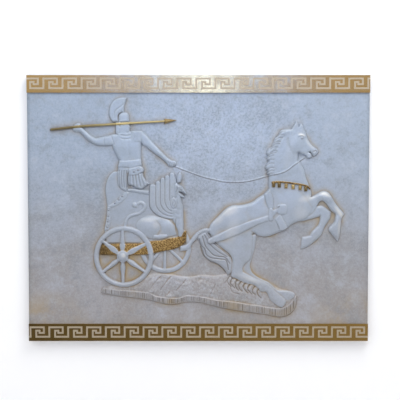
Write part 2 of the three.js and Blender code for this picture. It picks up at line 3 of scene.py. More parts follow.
import bpy
import numpy as np
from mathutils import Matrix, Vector


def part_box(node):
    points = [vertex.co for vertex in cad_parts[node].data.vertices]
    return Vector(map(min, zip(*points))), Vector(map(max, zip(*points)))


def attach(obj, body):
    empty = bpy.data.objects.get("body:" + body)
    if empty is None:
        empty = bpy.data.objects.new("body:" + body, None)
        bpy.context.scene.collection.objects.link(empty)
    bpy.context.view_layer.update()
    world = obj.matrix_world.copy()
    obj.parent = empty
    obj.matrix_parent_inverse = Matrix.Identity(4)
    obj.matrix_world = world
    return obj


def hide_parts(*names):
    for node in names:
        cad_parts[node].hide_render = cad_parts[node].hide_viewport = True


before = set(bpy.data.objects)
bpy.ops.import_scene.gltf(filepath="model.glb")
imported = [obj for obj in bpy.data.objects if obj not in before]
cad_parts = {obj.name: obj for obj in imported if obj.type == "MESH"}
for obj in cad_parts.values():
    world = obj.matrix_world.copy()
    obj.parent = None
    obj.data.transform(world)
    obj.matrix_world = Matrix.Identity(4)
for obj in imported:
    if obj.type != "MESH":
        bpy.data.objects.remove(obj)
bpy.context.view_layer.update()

bl_info = {
    "name": "Wall relief",
    "version": (1, 0, 0),
    "blender": (4, 5, 0),
    "location": "3D View > Sidebar > Wall relief",
    "description": "Dresses the cast wall relief of a charioteer and a rearing horse",
    "category": "Object",
}

MM = 0.001
SLAB_THICKNESS = 24 * MM
PANEL_LOW, PANEL_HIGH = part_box("relief_panel")

# ---------------------------------------------------------------------------------------
# The drawing of the relief. Millimetres from the panel's middle, x to the right and z up.
# An outline is a list of runs, each a smooth curve that starts where the last one ended.

LEDGE = [
    [(-279, -232), (-257, -235), (-229, -239), (-200, -241), (-147, -247), (-127, -256),
     (-98, -261), (-66, -263), (-50, -260), (-33, -255), (-1, -257), (23, -261), (56, -269),
     (97, -273), (137, -279), (178, -285), (214, -291), (239, -293), (259, -287), (275, -273),
     (284, -259), (289, -257)],
    [(289, -268), (286, -286), (279, -300), (263, -313), (243, -318), (222, -316), (198, -311),
     (158, -306), (117, -300), (76, -293), (36, -283), (7, -276), (-17, -273), (-42, -275),
     (-66, -280), (-90, -281), (-115, -276), (-147, -268), (-188, -262), (-229, -257),
     (-261, -252), (-284, -247), (-284, -240)],
]
BANK = [
    [(280, -247), (262, -240), (235, -233), (200, -212), (150, -205), (100, -203), (84, -192),
     (50, -197), (10, -195), (-30, -200), (-60, -196), (-100, -190), (-150, -195), (-205, -218),
     (-262, -228), (-284, -240)],
    [(-100, -268), (100, -286), (250, -300), (289, -257)],
]
FAR_HIND_LEG = [
    [(169, -74), (168, -99), (166, -115), (161, -132), (156, -150), (152, -166), (155, -180),
     (162, -190), (175, -200), (190, -208), (205, -215), (218, -226), (234, -239), (252, -240),
     (272, -243), (284, -250), (280, -262), (262, -268), (240, -262)],
    [(200, -235), (150, -205), (125, -190), (125, -150), (140, -80)],
]
HORSE_TAIL = [
    [(10, -70), (-3, -84), (2, -96), (7.6, -109), (13, -122), (18, -138), (26, -148),
     (36, -155), (49, -160), (62, -167), (73, -175), (80, -184), (86, -194)],
    [(97, -188), (101, -170), (99, -150), (90, -133), (75, -120), (60, -107), (48, -98),
     (38, -84), (25, -66)],
]
DRAUGHT_POLE = [
    [(-33, -102), (-24.6, -91), (-15.8, -79), (-4, -67.4), (7.6, -60), (22, -55.7), (40, -58.6),
     (52, -66)],
    [(46, -78)],
    [(40, -76), (28, -70.3), (13.5, -70.3), (1.8, -79), (-7, -90.8), (-15.8, -99.6),
     (-24.6, -114), (-36, -122), (-54, -124)],
    [(-54, -108)],
]
CAR_SIDE = [
    [(-247, 109), (-254, 104), (-260, 97.6), (-265.6, 88), (-269, 78), (-271.5, 64), (-272, 50),
     (-270, 36), (-268.5, 22), (-267, 8), (-268, -15), (-271, -36), (-276, -60)],
    [(-270, -100)], [(-60, -100)], [(-60, 40)], [(-142, 44)], [(-178, 52), (-205, 58)],
    [(-212, 108)], [(-239, 110)],
]
CAR_REAR_STRIP = [
    [(-268, -15), (-271, -36), (-276, -62)], [(-262, -62)],
    [(-257, -36), (-258.5, -15), (-258, 6)], [(-267, 6)],
]
CAR_SIDE_STRAP = [
    [(-224, 41), (-240, 25), (-265, 8)],
    [(-258, 5), (-246, 7), (-228, 17), (-213, 31), (-203, 47)], [(-213, 53)],
]
CAR_RAIL = [
    [(-190, 60), (-165, 57), (-143, 55)], [(-143, 42)], [(-165, 45), (-188, 50), (-206, 51)],
    [(-208, 60)],
]
CAR_FLOOR = [
    [(-288, -118), (-283, -104)],
    [(-250, -102), (-200, -101), (-160, -99), (-134, -93), (-108, -92), (-87, -86), (-64, -83),
     (-55, -79), (-47, -72.5), (-41, -65)],
    [(-35, -64)],
    [(-35, -84), (-39, -98), (-49, -107), (-64, -115), (-77, -119.5), (-98, -123), (-115, -127),
     (-128, -130), (-150, -134), (-200, -135.5), (-250, -135.5), (-290, -135)],
]
GRIFFIN_BODY = [
    [(-182, -44), (-172, -31), (-158, -23.6), (-140, -19), (-119, -22), (-98, -27), (-84, -33),
     (-72, -45), (-65, -60), (-62, -76)],
    [(-85, -81), (-108, -88), (-132, -89)], [(-160, -80), (-182, -60)],
]
GRIFFIN_FOOT = [
    [(-131, -77), (-120, -76), (-105, -74), (-92, -75), (-90, -81), (-98, -85), (-115, -88)],
    [(-133, -86)],
]
GRIFFIN_CHEST = [
    [(-69, 60), (-67, 45), (-66, 34), (-80, 30), (-86, 15), (-80, 0), (-76, -15), (-76, -30),
     (-68, -45), (-62, -60), (-60, -80)],
    [(-50, -80), (-44, -66)],
    [(-43, -50), (-43.6, -30), (-44.7, -9), (-44.7, 8), (-49, 19), (-50, 28), (-52, 38),
     (-56, 46)],
    [(-60, 60), (-68, 74)],
]
GRIFFIN_HEAD = [
    [(-61, 76), (-55, 71), (-48, 67), (-42, 58), (-38, 51.5), (-33.5, 43), (-34.5, 42)],
    [(-41, 46), (-48, 50), (-56, 50)], [(-50, 45), (-43, 39), (-39, 33.5)],
    [(-46, 33), (-52, 36), (-62, 46), (-68, 60), (-68, 80)],
]
GRIFFIN_EARS = [
    [[(-63, 90), (-60, 102), (-54, 108)], [(-49, 102), (-48, 90), (-52, 78)], [(-62, 76)]],
    [[(-76, 86), (-72, 99)], [(-66, 90), (-64, 76)], [(-74, 72)]],
]
# The wing: the gaps between its feathers, where each gap starts to sweep right, the
# feathers' tips, and the root with its step from gap to gap
FEATHER_GAPS = [-142.8, -124.7, -110.8, -98, -84.1, -70]
FEATHER_KNEES = [16, 21, 23, 28, 36, 44]
FEATHER_TIPS = [73, 82, 92, 99, 107]
WING_ROOT = (-74, -30, 8)
GRIFFIN_TAIL = [
    (-215, -50), (-211, -34), (-203, -23), (-190, -17), (-174, -13), (-162, -4), (-157, 7),
    (-161, 16), (-171, 19), (-179, 14), (-181, 8),
]
NEAR_WHEEL, NEAR_HUB = (-219.2, -140), (-222.5, -139.5)
NEAR_SPOKES = [
    (-222.5, -66), (-221.5, -214), (-158, -104), (-283, -92), (-279, -183), (-159, -183),
]
CAR_STUDS = [
    (-244, 18), (-233, 28), (-222.5, 38), (-262, -3), (-263.5, -20), (-265, -36), (-267, -52),
]
FAR_WHEEL = (-97, -113)
FAR_SPOKES = [
    [(-98, -113), (-99, -180)], [(-90, -113), (-42, -160)], [(-110, -120), (-135, -150)],
]
HORSE = [
    [(35, -46), (42, -37), (53, -26), (64, -15), (77, -2), (88, 6), (103, 11), (121, 11.5),
     (136, 14), (152, 18.5), (163, 24), (174, 33), (187, 41), (197, 50), (206, 60)],
    [(206, 100), (208, 140), (218, 172), (236, 203), (252, 222), (272, 232)],
    [(290, 200), (291, 141)],
    [(298, 138), (301, 129), (306.5, 121), (310, 111), (312, 101), (315, 91), (320, 78),
     (325, 64), (329, 54), (331, 46), (330, 36)],
    [(338, 39.5), (346, 44), (355, 49), (364, 52.5), (372, 52), (381, 48), (388, 39.5),
     (394, 29.5), (401, 17.5), (409, 8), (417, -1), (424, -10), (427, -16), (424.5, -20),
     (421, -26), (419, -35), (418.5, -43), (417, -56), (415.5, -70), (413.5, -83), (409, -96)],
    [(404.7, -91), (398, -83.3), (392.7, -76.7), (387.3, -69), (383, -64), (382, -59),
     (383.3, -54), (388, -48.5), (394, -42), (398.7, -35), (400, -26), (402, -18), (400, -13),
     (395, -8.7), (388.7, -4.7), (383, 3.3), (376.7, 12.7), (371, 19.3), (366, 23), (360.7, 24),
     (355.3, 21.3), (351, 15.3), (348.7, 10), (344.7, 3), (339, -3.3), (332.7, -11.3),
     (326, -16.7), (318, -23), (310, -28), (299, -32.7), (287, -39), (278, -43.3), (270, -48),
     (262, -55), (253, -62), (242, -66.6), (231, -70.6), (220, -75.4), (209, -79), (198, -81),
     (187, -80.5), (176, -78), (169, -74.5)],
    [(162, -71), (157.5, -77), (158, -99), (157, -120), (154.5, -138), (150.5, -148.5),
     (143, -156), (135, -164), (130, -174), (131, -184.5)],
    [(148, -194), (166, -203), (184.5, -211), (200, -218.6), (213, -229), (226, -242),
     (239, -252.5), (252, -264), (259, -271)],
    [(256, -280), (246, -291)],
    [(234, -286), (221, -277), (210.5, -265.5), (204, -251), (197.5, -244), (188, -243.5),
     (181, -240), (174, -231.6), (161, -223), (145, -220), (127, -213.5), (109, -204.5),
     (99, -200.5), (96, -195), (97.3, -185), (99, -169), (99, -153.6), (96, -140.6), (88, -130),
     (75, -120), (62, -109.5), (51.8, -99), (42, -87), (34, -72), (31, -58)],
]
FAR_FORELEG = [
    [(298, -36.5), (310, -35), (323, -31.3), (333, -28.7), (345, -25.3), (356, -22)],
    [(356, -32), (353, -43), (348.7, -50), (343, -55.5), (336.7, -62), (331, -69),
     (328, -76.7)],
    [(314, -80.5), (304.5, -82)], [(302.5, -92), (301.5, -104), (301, -117)],
    [(310, -115.5), (317, -112.7), (327, -107.3), (335, -101), (342, -95.3), (350, -88.7),
     (357, -82), (362, -75), (366, -64.7), (370, -54), (375.5, -44.7), (382, -35), (386, -28.7),
     (388, -20), (389, -8)],
    [(350, 10), (284, -37)],
]
HORSE_HEAD = [
    [(276, 236), (292, 241), (306, 237), (311, 228), (315, 219), (317.5, 211), (320.5, 203.5),
     (326, 194), (332, 186.5), (339, 181), (346, 176), (350.5, 170), (350, 165)],
    [(346, 159.5), (340, 155.5), (334.5, 156.5), (330, 162.5), (325.5, 167)],
    [(318, 160), (313.5, 156.5), (308, 158.5), (300.5, 161.5), (292, 165), (284, 163),
     (277, 156), (268, 160), (264, 180), (262, 200), (266, 226)],
]
HORSE_CHIN = [
    [(315, 153.5), (319, 149.5), (326, 148.5), (331, 152.5), (331, 159), (326, 165), (318, 165),
     (313, 160)],
]
HORSE_EARS = [
    [[(279, 246), (287, 257)], [(292, 246), (293, 234)], [(270, 230)]],
    [[(295, 246), (299, 252)], [(305, 243), (306, 233)], [(292, 236)]],
]
MANE = [
    [(258, 233.5), (246, 232), (240, 229), (236, 223), (229, 212), (223, 207), (220, 198),
     (215.5, 188), (211, 180), (205, 177), (201, 170), (199, 163), (202, 155), (200, 146),
     (204, 139), (198, 130), (195, 123), (198, 117), (202, 111), (200, 100)],
    [(219, 100)],
    [(220, 123), (219, 138), (220, 153), (222, 167), (227.5, 178), (233, 188), (238, 198),
     (244, 206), (254, 214), (266, 220), (276, 224)],
    [(276, 234)],
]
SHAFT = [
    [(38, -82), (52, -76), (72, -66), (92.6, -57), (122, -46.5), (151, -35), (186, -24),
     (206, -18)],
    [(206, -35)],
    [(181, -42.5), (151, -57), (122, -72), (100, -81), (78, -89.5), (54.5, -97), (34, -102)],
    [(27, -98), (26, -90)],
]
BUCKLE = [
    [(212, 4), (217, 1), (219, -8), (218.5, -24), (217, -32), (212, -35), (207, -32),
     (204.5, -24), (205, -8), (207, 2)],
]
GIRTH_UPPER = [
    [(198, 20), (204, 2)], [(220, 2)], [(218, 30), (209, 58)], [(192, 44)],
]
GIRTH_LOWER = [
    [(232, -46), (239, -62)], [(250, -62), (262, -54)], [(252, -38), (244, -24), (238, -14)],
    [(224, -30)],
]
TUG = [
    [(232, 2)], [(231, -8)], [(218, -22)], [(217, -4)],
]
KNOT = [
    [(244, 15), (257, 11), (259.5, -1), (256, -13), (244, -16), (232, -12), (229, 0),
     (231, 12)],
]
# The collar's line with its half width, and its pendants with how dark each is
COLLAR = [
    (217, 78, 3.4), (236, 79.5, 2.8), (261, 77.5, 2.6), (280, 75, 2.6), (302, 71.5, 2.6),
    (318, 66.5, 2.8), (325, 60, 3),
]
PENDANTS = [
    (219.5, 71, 0.8), (236, 70, 0.95), (256, 67.5, 0.35), (276.5, 65, 0.0), (297, 62.5, 0.35),
    (313.5, 59, 0.85),
]
REINS = [
    (-84, 130), (-76, 128), (-64, 123.6), (-49, 117.5), (-34, 112), (-10, 103), (20, 93),
    (49, 86.5), (78, 80.7), (122, 79.7), (151, 83.5), (180, 91), (204, 98), (214, 100.5),
    (236, 105), (252, 111), (266, 119.5), (281, 131), (296, 141.5), (310, 151),
]
CREST = [
    [(-217, 326.5), (-227, 325.5), (-240, 321), (-250, 313), (-256.5, 302), (-260, 289),
     (-260.5, 276), (-258, 266), (-250, 254)],
    [(-232, 254)], [(-234, 268), (-231, 277), (-224, 281), (-216.5, 282)],
    [(-215.5, 298), (-212, 311), (-208, 325)],
]
HELMET = [
    [(-233, 262), (-232.5, 272), (-228, 279), (-218, 282.5), (-208, 281), (-203, 276),
     (-201.5, 266), (-201.5, 254)],
    [(-232, 250)],
]
NECK = [
    [(-206, 240)], [(-201, 231), (-197, 224), (-196, 214)], [(-238, 214)],
    [(-233, 226), (-232, 240)],
]
# The charioteer's face, a plain profile of even proportions
FACE = [
    [(-202, 254)], [(-201.2, 249), (-200.6, 245.5)], [(-198.4, 240.6), (-196.8, 238.2)],
    [(-198, 236.6), (-200, 236)], [(-198.9, 234.2), (-200.2, 232.8)],
    [(-199.2, 231.2), (-200.6, 229.6)], [(-199.9, 227), (-202, 224.6), (-209, 224)],
    [(-211, 215)], [(-231, 214)], [(-229, 252)],
]
HAIR = [
    [(-241.5, 235), (-240, 219), (-230, 218)], [(-228, 235), (-229, 254)], [(-241, 254)],
]
TORSO = [
    [(-249, 179), (-245, 169), (-239, 157), (-234.5, 148), (-231, 142)],
    [(-234, 131), (-235, 122), (-236, 110)], [(-205, 104)],
    [(-185, 98), (-168, 103), (-160, 110), (-160, 118), (-165, 126), (-167, 140), (-167.5, 160),
     (-167, 180), (-166, 200), (-163, 226)],
    [(-171, 229), (-194, 229), (-205, 222)],
    [(-226, 222), (-240, 219), (-252, 217.5), (-256, 200), (-252, 187)],
]
SPEAR_ARM = [
    [(-352, 251), (-361, 247), (-366, 238), (-366, 230), (-361, 226.5), (-347, 225),
     (-339, 218), (-331, 209), (-321, 200), (-311, 193), (-300, 188), (-288, 185.5),
     (-268, 185), (-252, 186)],
    [(-240, 200), (-238, 218.5)],
    [(-251, 218), (-263, 215), (-278, 212), (-288, 209.5), (-298, 208), (-308, 211.5),
     (-318, 219.5), (-331, 231), (-340, 240), (-345, 250)],
]
REIN_ARM = [
    [(-163.8, 227), (-156, 220), (-146, 211), (-136, 198.5), (-123, 184.5), (-110.6, 171.5),
     (-100, 161), (-90, 151), (-84, 147)],
    [(-77, 142.5), (-70, 141), (-65, 137), (-64, 131), (-68, 126), (-76, 123.5), (-86, 125.5),
     (-94, 135.5)],
    [(-101.6, 142), (-110, 150), (-118, 155.5), (-127, 161.6), (-135, 168), (-145, 176),
     (-153, 182), (-163, 188)],
    [(-172, 205), (-172, 229)],
]
SHOULDER_FLAP = [
    [(-170, 229)], [(-167.5, 215), (-168, 197)], [(-194, 197)], [(-194, 228)],
]
BELT = [
    [(-215, 141), (-200, 142), (-185, 143.5), (-167, 145)], [(-165, 127)],
    [(-178, 124), (-191, 120), (-201, 119), (-206, 121.5), (-220, 122.5), (-235, 123)],
    [(-233, 132), (-231, 142)],
]
SKIRT_BACK = [
    [(-236.5, 96), (-236, 82), (-233.5, 69), (-229.5, 62), (-222, 57), (-210, 50)],
    [(-208.5, 64), (-208, 85), (-206, 107), (-206, 120)], [(-236.5, 110)],
]
SKIRT_FRONT = [
    [(-206, 80), (-203, 70)],
    [(-192, 68), (-184, 63), (-175, 59.5), (-167, 58.5), (-160, 62), (-152, 68), (-142, 74)],
    [(-148, 80), (-156, 88), (-161, 97), (-163, 106)], [(-206, 104)],
]
BELT_TAB = [
    [(-190, 121), (-172, 125), (-162, 121), (-159.5, 113), (-164, 107), (-176, 102), (-190, 99),
     (-204, 100)],
    [(-204, 118)],
]
SPEAR = [
    (-429, 232, 3.6), (-345, 241, 3.8), (-257, 247, 3.6), (-148, 253.5, 3.2), (-97, 256.5, 3),
]
SPEAR_POINT = [
    [(-80, 262), (-62, 259.3)], [(-80, 254), (-99, 248)], [(-99, 264)],
]
# The horse's swellings: place, half widths, height and turn
HORSE_MASSES = [
    (104, -40, 66, 58, 4.4, -0.3), (185, -22, 92, 52, 3.0, 0.05), (276, 6, 60, 60, 4.2, 0.2),
    (250, 140, 34, 84, 3.0, -0.25), (126, -118, 28, 64, 3.0, -0.15),
    (150, -206, 50, 12, 1.5, -0.35), (372, 34, 40, 16, 3.0, -0.2),
    (404, -50, 14, 46, 2.2, 0.05),
]
# Painted highlights on the horse, pale spots where light would catch it: rump, chest, knee,
# shin, neck and flank
HORSE_HIGHLIGHTS = [
    (92, -6, 30, 16, 0.8, 0.35), (60, -32, 26, 12, 0.5, 0.8), (318, 32, 34, 12, 0.7, 0.25),
    (374, 44, 36, 9, 0.9, -0.2), (414, -12, 32, 7, 1.0, -0.95), (416, -60, 9, 36, 0.8, 0.06),
    (262, 150, 14, 60, 0.12, -0.2), (100, -60, 22, 50, 0.35, -0.3),
    (300, -10, 26, 30, 0.35, 0.2), (150, -206, 46, 7, 0.5, -0.4),
]
# The strands of the tail, and how deep each is cut
TAIL_STRANDS = [
    ([(2, -88), (8, -106), (18, -117), (23, -133), (34, -142), (49, -146), (67, -148),
      (82, -152), (88, -178)], -1.6),
    ([(12, -80), (20, -107), (31, -122), (44, -135), (60, -140), (78, -142), (92, -160)], -1.4),
    ([(18, -76), (30, -98), (44, -114), (62, -128), (84, -140)], -1.2),
    ([(24, -72), (38, -92), (54, -108), (72, -122), (92, -140)], -1.2),
    ([(6, -110), (14, -134), (34, -152), (60, -164), (80, -186)], -1.0),
]
GROUND_CRACKS = [
    [(-112, -200), (-128, -216), (-143, -236)], [(-82, -200), (-96, -216), (-112, -238)],
    [(-37, -208), (-50, -224), (-65, -240)], [(50, -222), (42, -238), (36, -250)],
    [(96, -214), (94, -230), (100, -244), (118, -250)],
]
# The lip's ochre stain from left to right: strongest under the tail and round its end
LIP_STAIN = [(-290, 0.5), (-230, 0.4), (-120, 0.8), (40, 0.85), (130, 0.45), (230, 0.45),
             (290, 0.75)]

# ---------------------------------------------------------------------------------------
# The height field: heights above the slab's face in millimetres, on a square lattice.

LATTICE = 1.25
COLUMNS, ROWS = 801, 625
XS, ZS = [(np.arange(count) - (count - 1) / 2) * LATTICE for count in (COLUMNS, ROWS)]
HIGHEST, LOWEST = 15.9, -0.9
# Half the width of a form's soft edge, and how far out and how wide its moat is
EDGE_SOFT, MOAT_OUT, MOAT_WIDTH = 1.1, 1.6, 1.5
# Hollows and crowns show against the close blur, stains against the broad one
CLOSE_BLUR, BROAD_BLUR = 1.8, 8
HOLLOW_DEPTH, STAIN_DEPTH = 1.6, 3.0


def smooth(value, low, high):
    """0 below low, 1 above high and a soft step between them."""
    t = np.clip((value - low) / (high - low), 0, 1)
    return t * t * (3 - 2 * t)


def curve(points, steps=6):
    """A smooth curve through the points, of as many columns as they have."""
    p = np.array(points, float)
    if len(p) == 2:
        return p
    ends = np.vstack([p[:1], p, p[-1:]])
    t = np.linspace(0, 1, steps, endpoint=False)[:, None]
    made = []
    for a, b, c, d in zip(ends, ends[1:], ends[2:], ends[3:]):
        leave, arrive = (c - a) / 2, (d - b) / 2
        made.append((2 * b - 2 * c + leave + arrive) * t ** 3
                    + (-3 * b + 3 * c - 2 * leave - arrive) * t ** 2 + leave * t + b)
    return np.vstack(made + [p[-1:]])


def outline(runs):
    """The closed line that the runs make."""
    starts = [run[-1] for run in runs[-1:] + runs[:-1]]
    line = np.vstack([curve([start, *run])[:-1] for start, run in zip(starts, runs)])
    return np.vstack([line, line[:1]])


def oval(x, z, half_x, half_z):
    """A closed oval line."""
    a = np.linspace(0, 2 * math.pi, 49)
    return np.stack([x + half_x * np.cos(a), z + half_z * np.sin(a)], 1)


def span(values, low, high):
    """The part of the rising values that lies between low and high."""
    return slice(*np.searchsorted(values, (low, high)).tolist())


def window(line, margin):
    """The lattice rows and columns that hold the line and a margin round it."""
    low, high = line.min(0) - margin, line.max(0) + margin
    return span(ZS, low[1], high[1]), span(XS, low[0], high[0])


def nearest(line, place, reach):
    """Distance to the line at each lattice point of a window, up to the reach, and, where
    the line has a third column, that column's value at the nearest point."""
    xs, zs = XS[place[1]], ZS[place[0]]
    far = np.full((len(zs), len(xs)), float(reach))
    value = np.zeros_like(far)
    for a, b in zip(line, line[1:]):
        low, high = np.minimum(a, b) - reach, np.maximum(a, b) + reach
        i, j = span(zs, low[1], high[1]), span(xs, low[0], high[0])
        px, pz = xs[None, j] - a[0], zs[i, None] - a[1]
        if not px.size or not pz.size:
            continue
        ex, ez = b[0] - a[0], b[1] - a[1]
        t = np.clip((px * ex + pz * ez) / max(ex * ex + ez * ez, 1e-9), 0, 1)
        d = np.hypot(px - t * ex, pz - t * ez)
        closer = d < far[i, j]
        far[i, j][closer] = d[closer]
        if len(a) > 2:
            value[i, j][closer] = (a[2] + t * (b[2] - a[2]))[closer]
    return far, value


def inside(line, place):
    """True at the window's lattice points that the closed line goes round."""
    xs, zs = XS[place[1]], ZS[place[0]]
    flips = np.zeros((len(zs), len(xs) + 1), int)
    for a, b in zip(line, line[1:]):
        if a[1] == b[1]:
            continue
        low, high = min(a[1], b[1]), max(a[1], b[1])
        i = np.nonzero((zs >= low) & (zs < high))[0]
        cross = a[0] + (zs[i] - a[1]) * (b[0] - a[0]) / (b[1] - a[1])
        np.add.at(flips, (i, np.searchsorted(xs, cross)), 1)
    return np.cumsum(flips, 1)[:, :-1] % 2 == 1


def hump(place, x, z, half_x, half_z, turn=0.0):
    """1 at the middle of a turned oval, falling to 0 at its edge."""
    dx, dz = XS[None, place[1]] - x, ZS[place[0], None] - z
    c, s = math.cos(turn), math.sin(turn)
    u, v = (dx * c + dz * s) / half_x, (dz * c - dx * s) / half_z
    return np.clip(1 - u * u - v * v, 0, 1)


def blurred(field, radius):
    """The field, blurred by a bell of this radius in millimetres."""
    pad = int(3 * radius / LATTICE)
    wide = np.pad(field, pad, mode="edge")
    u = np.fft.fftfreq(wide.shape[0])[:, None]
    v = np.fft.rfftfreq(wide.shape[1])[None, :]
    bell = np.exp(-2 * (math.pi * radius / LATTICE) ** 2 * (u * u + v * v))
    soft = np.fft.irfft2(np.fft.rfft2(wide) * bell, wide.shape)
    return soft[pad:-pad, pad:-pad]


class Sheet:
    """The relief as it is built up, from the farthest form to the nearest."""

    def __init__(self):
        self.height = np.zeros((ROWS, COLUMNS))
        self.masks = {name: np.zeros((ROWS, COLUMNS))
                      for name in ("gold", "dark", "sleek", "painted_highlight", "crag", "ochre")}

    def mark(self, name, place, share):
        """Raises a mask to this share where it is lower."""
        self.masks[name][place] = np.maximum(self.masks[name][place], share)

    def lay(self, place, signed, round_over, height, wall=0.15, lift=0.7, moat=0.1,
            gold=0.0, dark=0.0, sleek=1.0):
        """Lays a form over what is there; signed is the depth inside its outline."""
        now = self.height[place]
        dome = np.sqrt(1 - (1 - np.clip(signed / round_over, 0, 1)) ** 2)
        share = (wall + (1 - wall) * dome) * smooth(signed, -EDGE_SOFT, EDGE_SOFT)
        ground = now - moat * np.exp(-((signed + MOAT_OUT) / MOAT_WIDTH) ** 2)
        target = np.maximum(height, now + lift)
        self.height[place] = ground + (target - ground) * share
        cover = smooth(signed, -0.8, 0.8)
        for name, amount in (("gold", gold), ("dark", dark), ("sleek", sleek)):
            mask = self.masks[name][place]
            self.masks[name][place] = mask * (1 - cover) + amount * cover

    def form(self, shape, height, round_over, **finish):
        """Raises an outline to a height, rounded over inwards from a short wall."""
        line = outline(shape) if isinstance(shape, list) else shape
        reach = max(round_over, 4)
        place = window(line, reach + 2)
        far, _ = nearest(line, place, reach)
        signed = np.where(inside(line, place), far, -far)
        self.lay(place, signed, round_over, height, **finish)
        return place, signed

    def bar(self, stations, height, **finish):
        """A rounded bar along a line, whose third column is its half width."""
        path = curve(stations)
        widest = max(s[2] for s in stations)
        place = window(path, widest + 5)
        far, half = nearest(path, place, widest + 4)
        half = np.maximum(half, 0.5)
        self.lay(place, half - far, half, height, **finish)

    def ring(self, centre, outer, inner, height):
        """A rounded ring; outer and inner are half widths in x and z."""
        a = np.linspace(0, 2 * math.pi, 97)
        middle = [(o + i) / 2 for o, i in zip(outer, inner)]
        half = ((outer[0] - inner[0]) * np.cos(a) ** 2
                + (outer[1] - inner[1]) * np.sin(a) ** 2) / 2
        self.bar(np.stack([centre[0] + middle[0] * np.cos(a),
                           centre[1] + middle[1] * np.sin(a), half], 1), height)

    def line(self, points, amount, width, dark=0.0):
        """A groove, or with a positive amount a ridge, along a smooth line."""
        path = curve(points)
        place = window(path, width * 3 + 2)
        far, _ = nearest(path, place, width * 3)
        profile = np.exp(-(far / width) ** 2)
        self.height[place] += amount * profile
        self.mark("dark", place, dark * profile)

    def swell(self, part, x, z, half_x, half_z, amount, turn=0.0):
        """A soft swelling of a form that is already there."""
        place, signed = part
        bump = hump(place, x, z, half_x, half_z, turn) ** 2 * amount
        self.height[place] += bump * smooth(signed, -0.5, 6)

    def painted_highlight(self, part, x, z, half_x, half_z, amount, turn=0.0):
        """A painted highlight: a place of a form painted pale where light would catch it."""
        place, signed = part
        spot = amount * hump(place, x, z, half_x, half_z, turn)
        self.mark("painted_highlight", place, spot * smooth(signed, 0, 3))


def draw_ground(sheet):
    """The rough bank, its cracks and crumbs, and the lip with its uneven upright cuts."""
    bank = sheet.form(BANK, 5.2, 46, wall=0.0, moat=0.0, sleek=0.0)
    place, signed = bank
    sheet.masks["crag"][place] = smooth(signed, 0, 12)
    pick = np.random.default_rng(7).uniform
    for _ in range(90):
        x, z = pick(-270, 270), pick(-285, -195)
        sheet.swell(bank, x, z, pick(8, 24), pick(5, 12), pick(-1.4, 1.8), pick(-0.5, 0.8))
    for points in GROUND_CRACKS:
        sheet.line(points, -1.2, 1.6, 0.25)
    for _ in range(26):
        x, z = pick(-190, 120), pick(-255, -212)
        long, lean = pick(6, 16), pick(0.5, 1.1)
        sheet.line([(x, z), (x + long * lean, z + long)], pick(-0.9, 0.6), 1.3,
                   pick(0.0, 0.2))
    # Folds of rough ground between the hind legs
    for k in range(8):
        x, z = 84 + 13 * k + pick(-3, 3), -207 - 4.6 * k
        deep, lean = pick(14, 27), pick(-6, 8)
        sheet.line([(x + 5, z + 8), (x - 2, z - 4), (x + lean, z - deep * 0.7),
                    (x + 7 + lean, z - deep)], -1.7, 1.5, 0.5)
        sheet.line([(x + 12, z + 4), (x + 6, z - 6), (x + 7 + lean, z - deep * 0.6)],
                   1.4, 2.6)
    place, signed = sheet.form(LEDGE, 7, 6, wall=0.5, dark=0.17, sleek=0.4)
    xs = XS[place[1]]
    cuts = np.zeros_like(xs)
    x, last, half_width, deepest, darkest = -288.0, 292, 1.4, 1.7, 0.78
    while x < last:
        cuts = np.maximum(cuts, pick(0.15, 1.0) * np.exp(-((xs - x) / half_width) ** 2))
        x += pick(3.8, 7.2)
    cut = cuts * smooth(signed, 1.0, 4.0)
    sheet.height[place] -= deepest * cut
    sheet.mark("dark", place, darkest * cut)
    sheet.mark("ochre", place, np.interp(xs, *zip(*LIP_STAIN)) * smooth(signed, -0.5, 1.5))


def spoke(sheet, hub, end, height, width):
    """A turned spoke, thickest a little way out from the hub."""
    stations = [(hub[0] + (end[0] - hub[0]) * t, hub[1] + (end[1] - hub[1]) * t, width * w)
                for t, w in ((0, 0.6), (0.25, 0.72), (0.45, 1.0), (0.7, 0.72), (1, 0.6))]
    sheet.bar(stations, height)


def draw_far_side(sheet):
    """The far wheel, the pole with its ribs, the far hind leg and the tail."""
    sheet.ring(FAR_WHEEL, (76, 76), (62, 62), 4.8)
    for start, end in FAR_SPOKES:
        sheet.bar([(*start, 4.0), (*end, 5.0)], 3.9)
    sheet.form(DRAUGHT_POLE, 8, 7)
    for a in np.radians(np.linspace(38, 150, 11)):
        sheet.line([(24 + r * math.cos(a), -88 + r * math.sin(a)) for r in (20, 33)],
                   -0.9, 1.0, 0.16)
    sheet.form(FAR_HIND_LEG, 5.6, 9)
    sheet.form(HORSE_TAIL, 7.4, 10, dark=0.08)
    for strand, depth in TAIL_STRANDS:
        sheet.line(strand, depth * 1.2, 1.6, 0.5)


def draw_car(sheet):
    """The car's side with its strip, strap, rail and studs, and the gilt floor."""
    sheet.form(CAR_SIDE, 4.4, 5, wall=0.5)
    sheet.form(CAR_REAR_STRIP, 6.0, 4)
    sheet.form(CAR_SIDE_STRAP, 6.2, 5)
    sheet.form(CAR_RAIL, 7.6, 5)
    for x, z in CAR_STUDS:
        sheet.form(oval(x, z, 2.4, 2.4), 8.4, 2.4, moat=0.9, dark=0.35)
    place, signed = sheet.form(CAR_FLOOR, 8, 4, wall=0.4, gold=1.0, sleek=0.0)
    # Darker gilt: its rear end and its turned-up tip are darkest
    xs = XS[place[1]]
    darker_ends = np.maximum(0.5 * smooth(-xs, 225, 275), 0.26 * smooth(xs, -58, -40))
    sheet.mark("dark", place, darker_ends * smooth(signed, -0.5, 1.5))


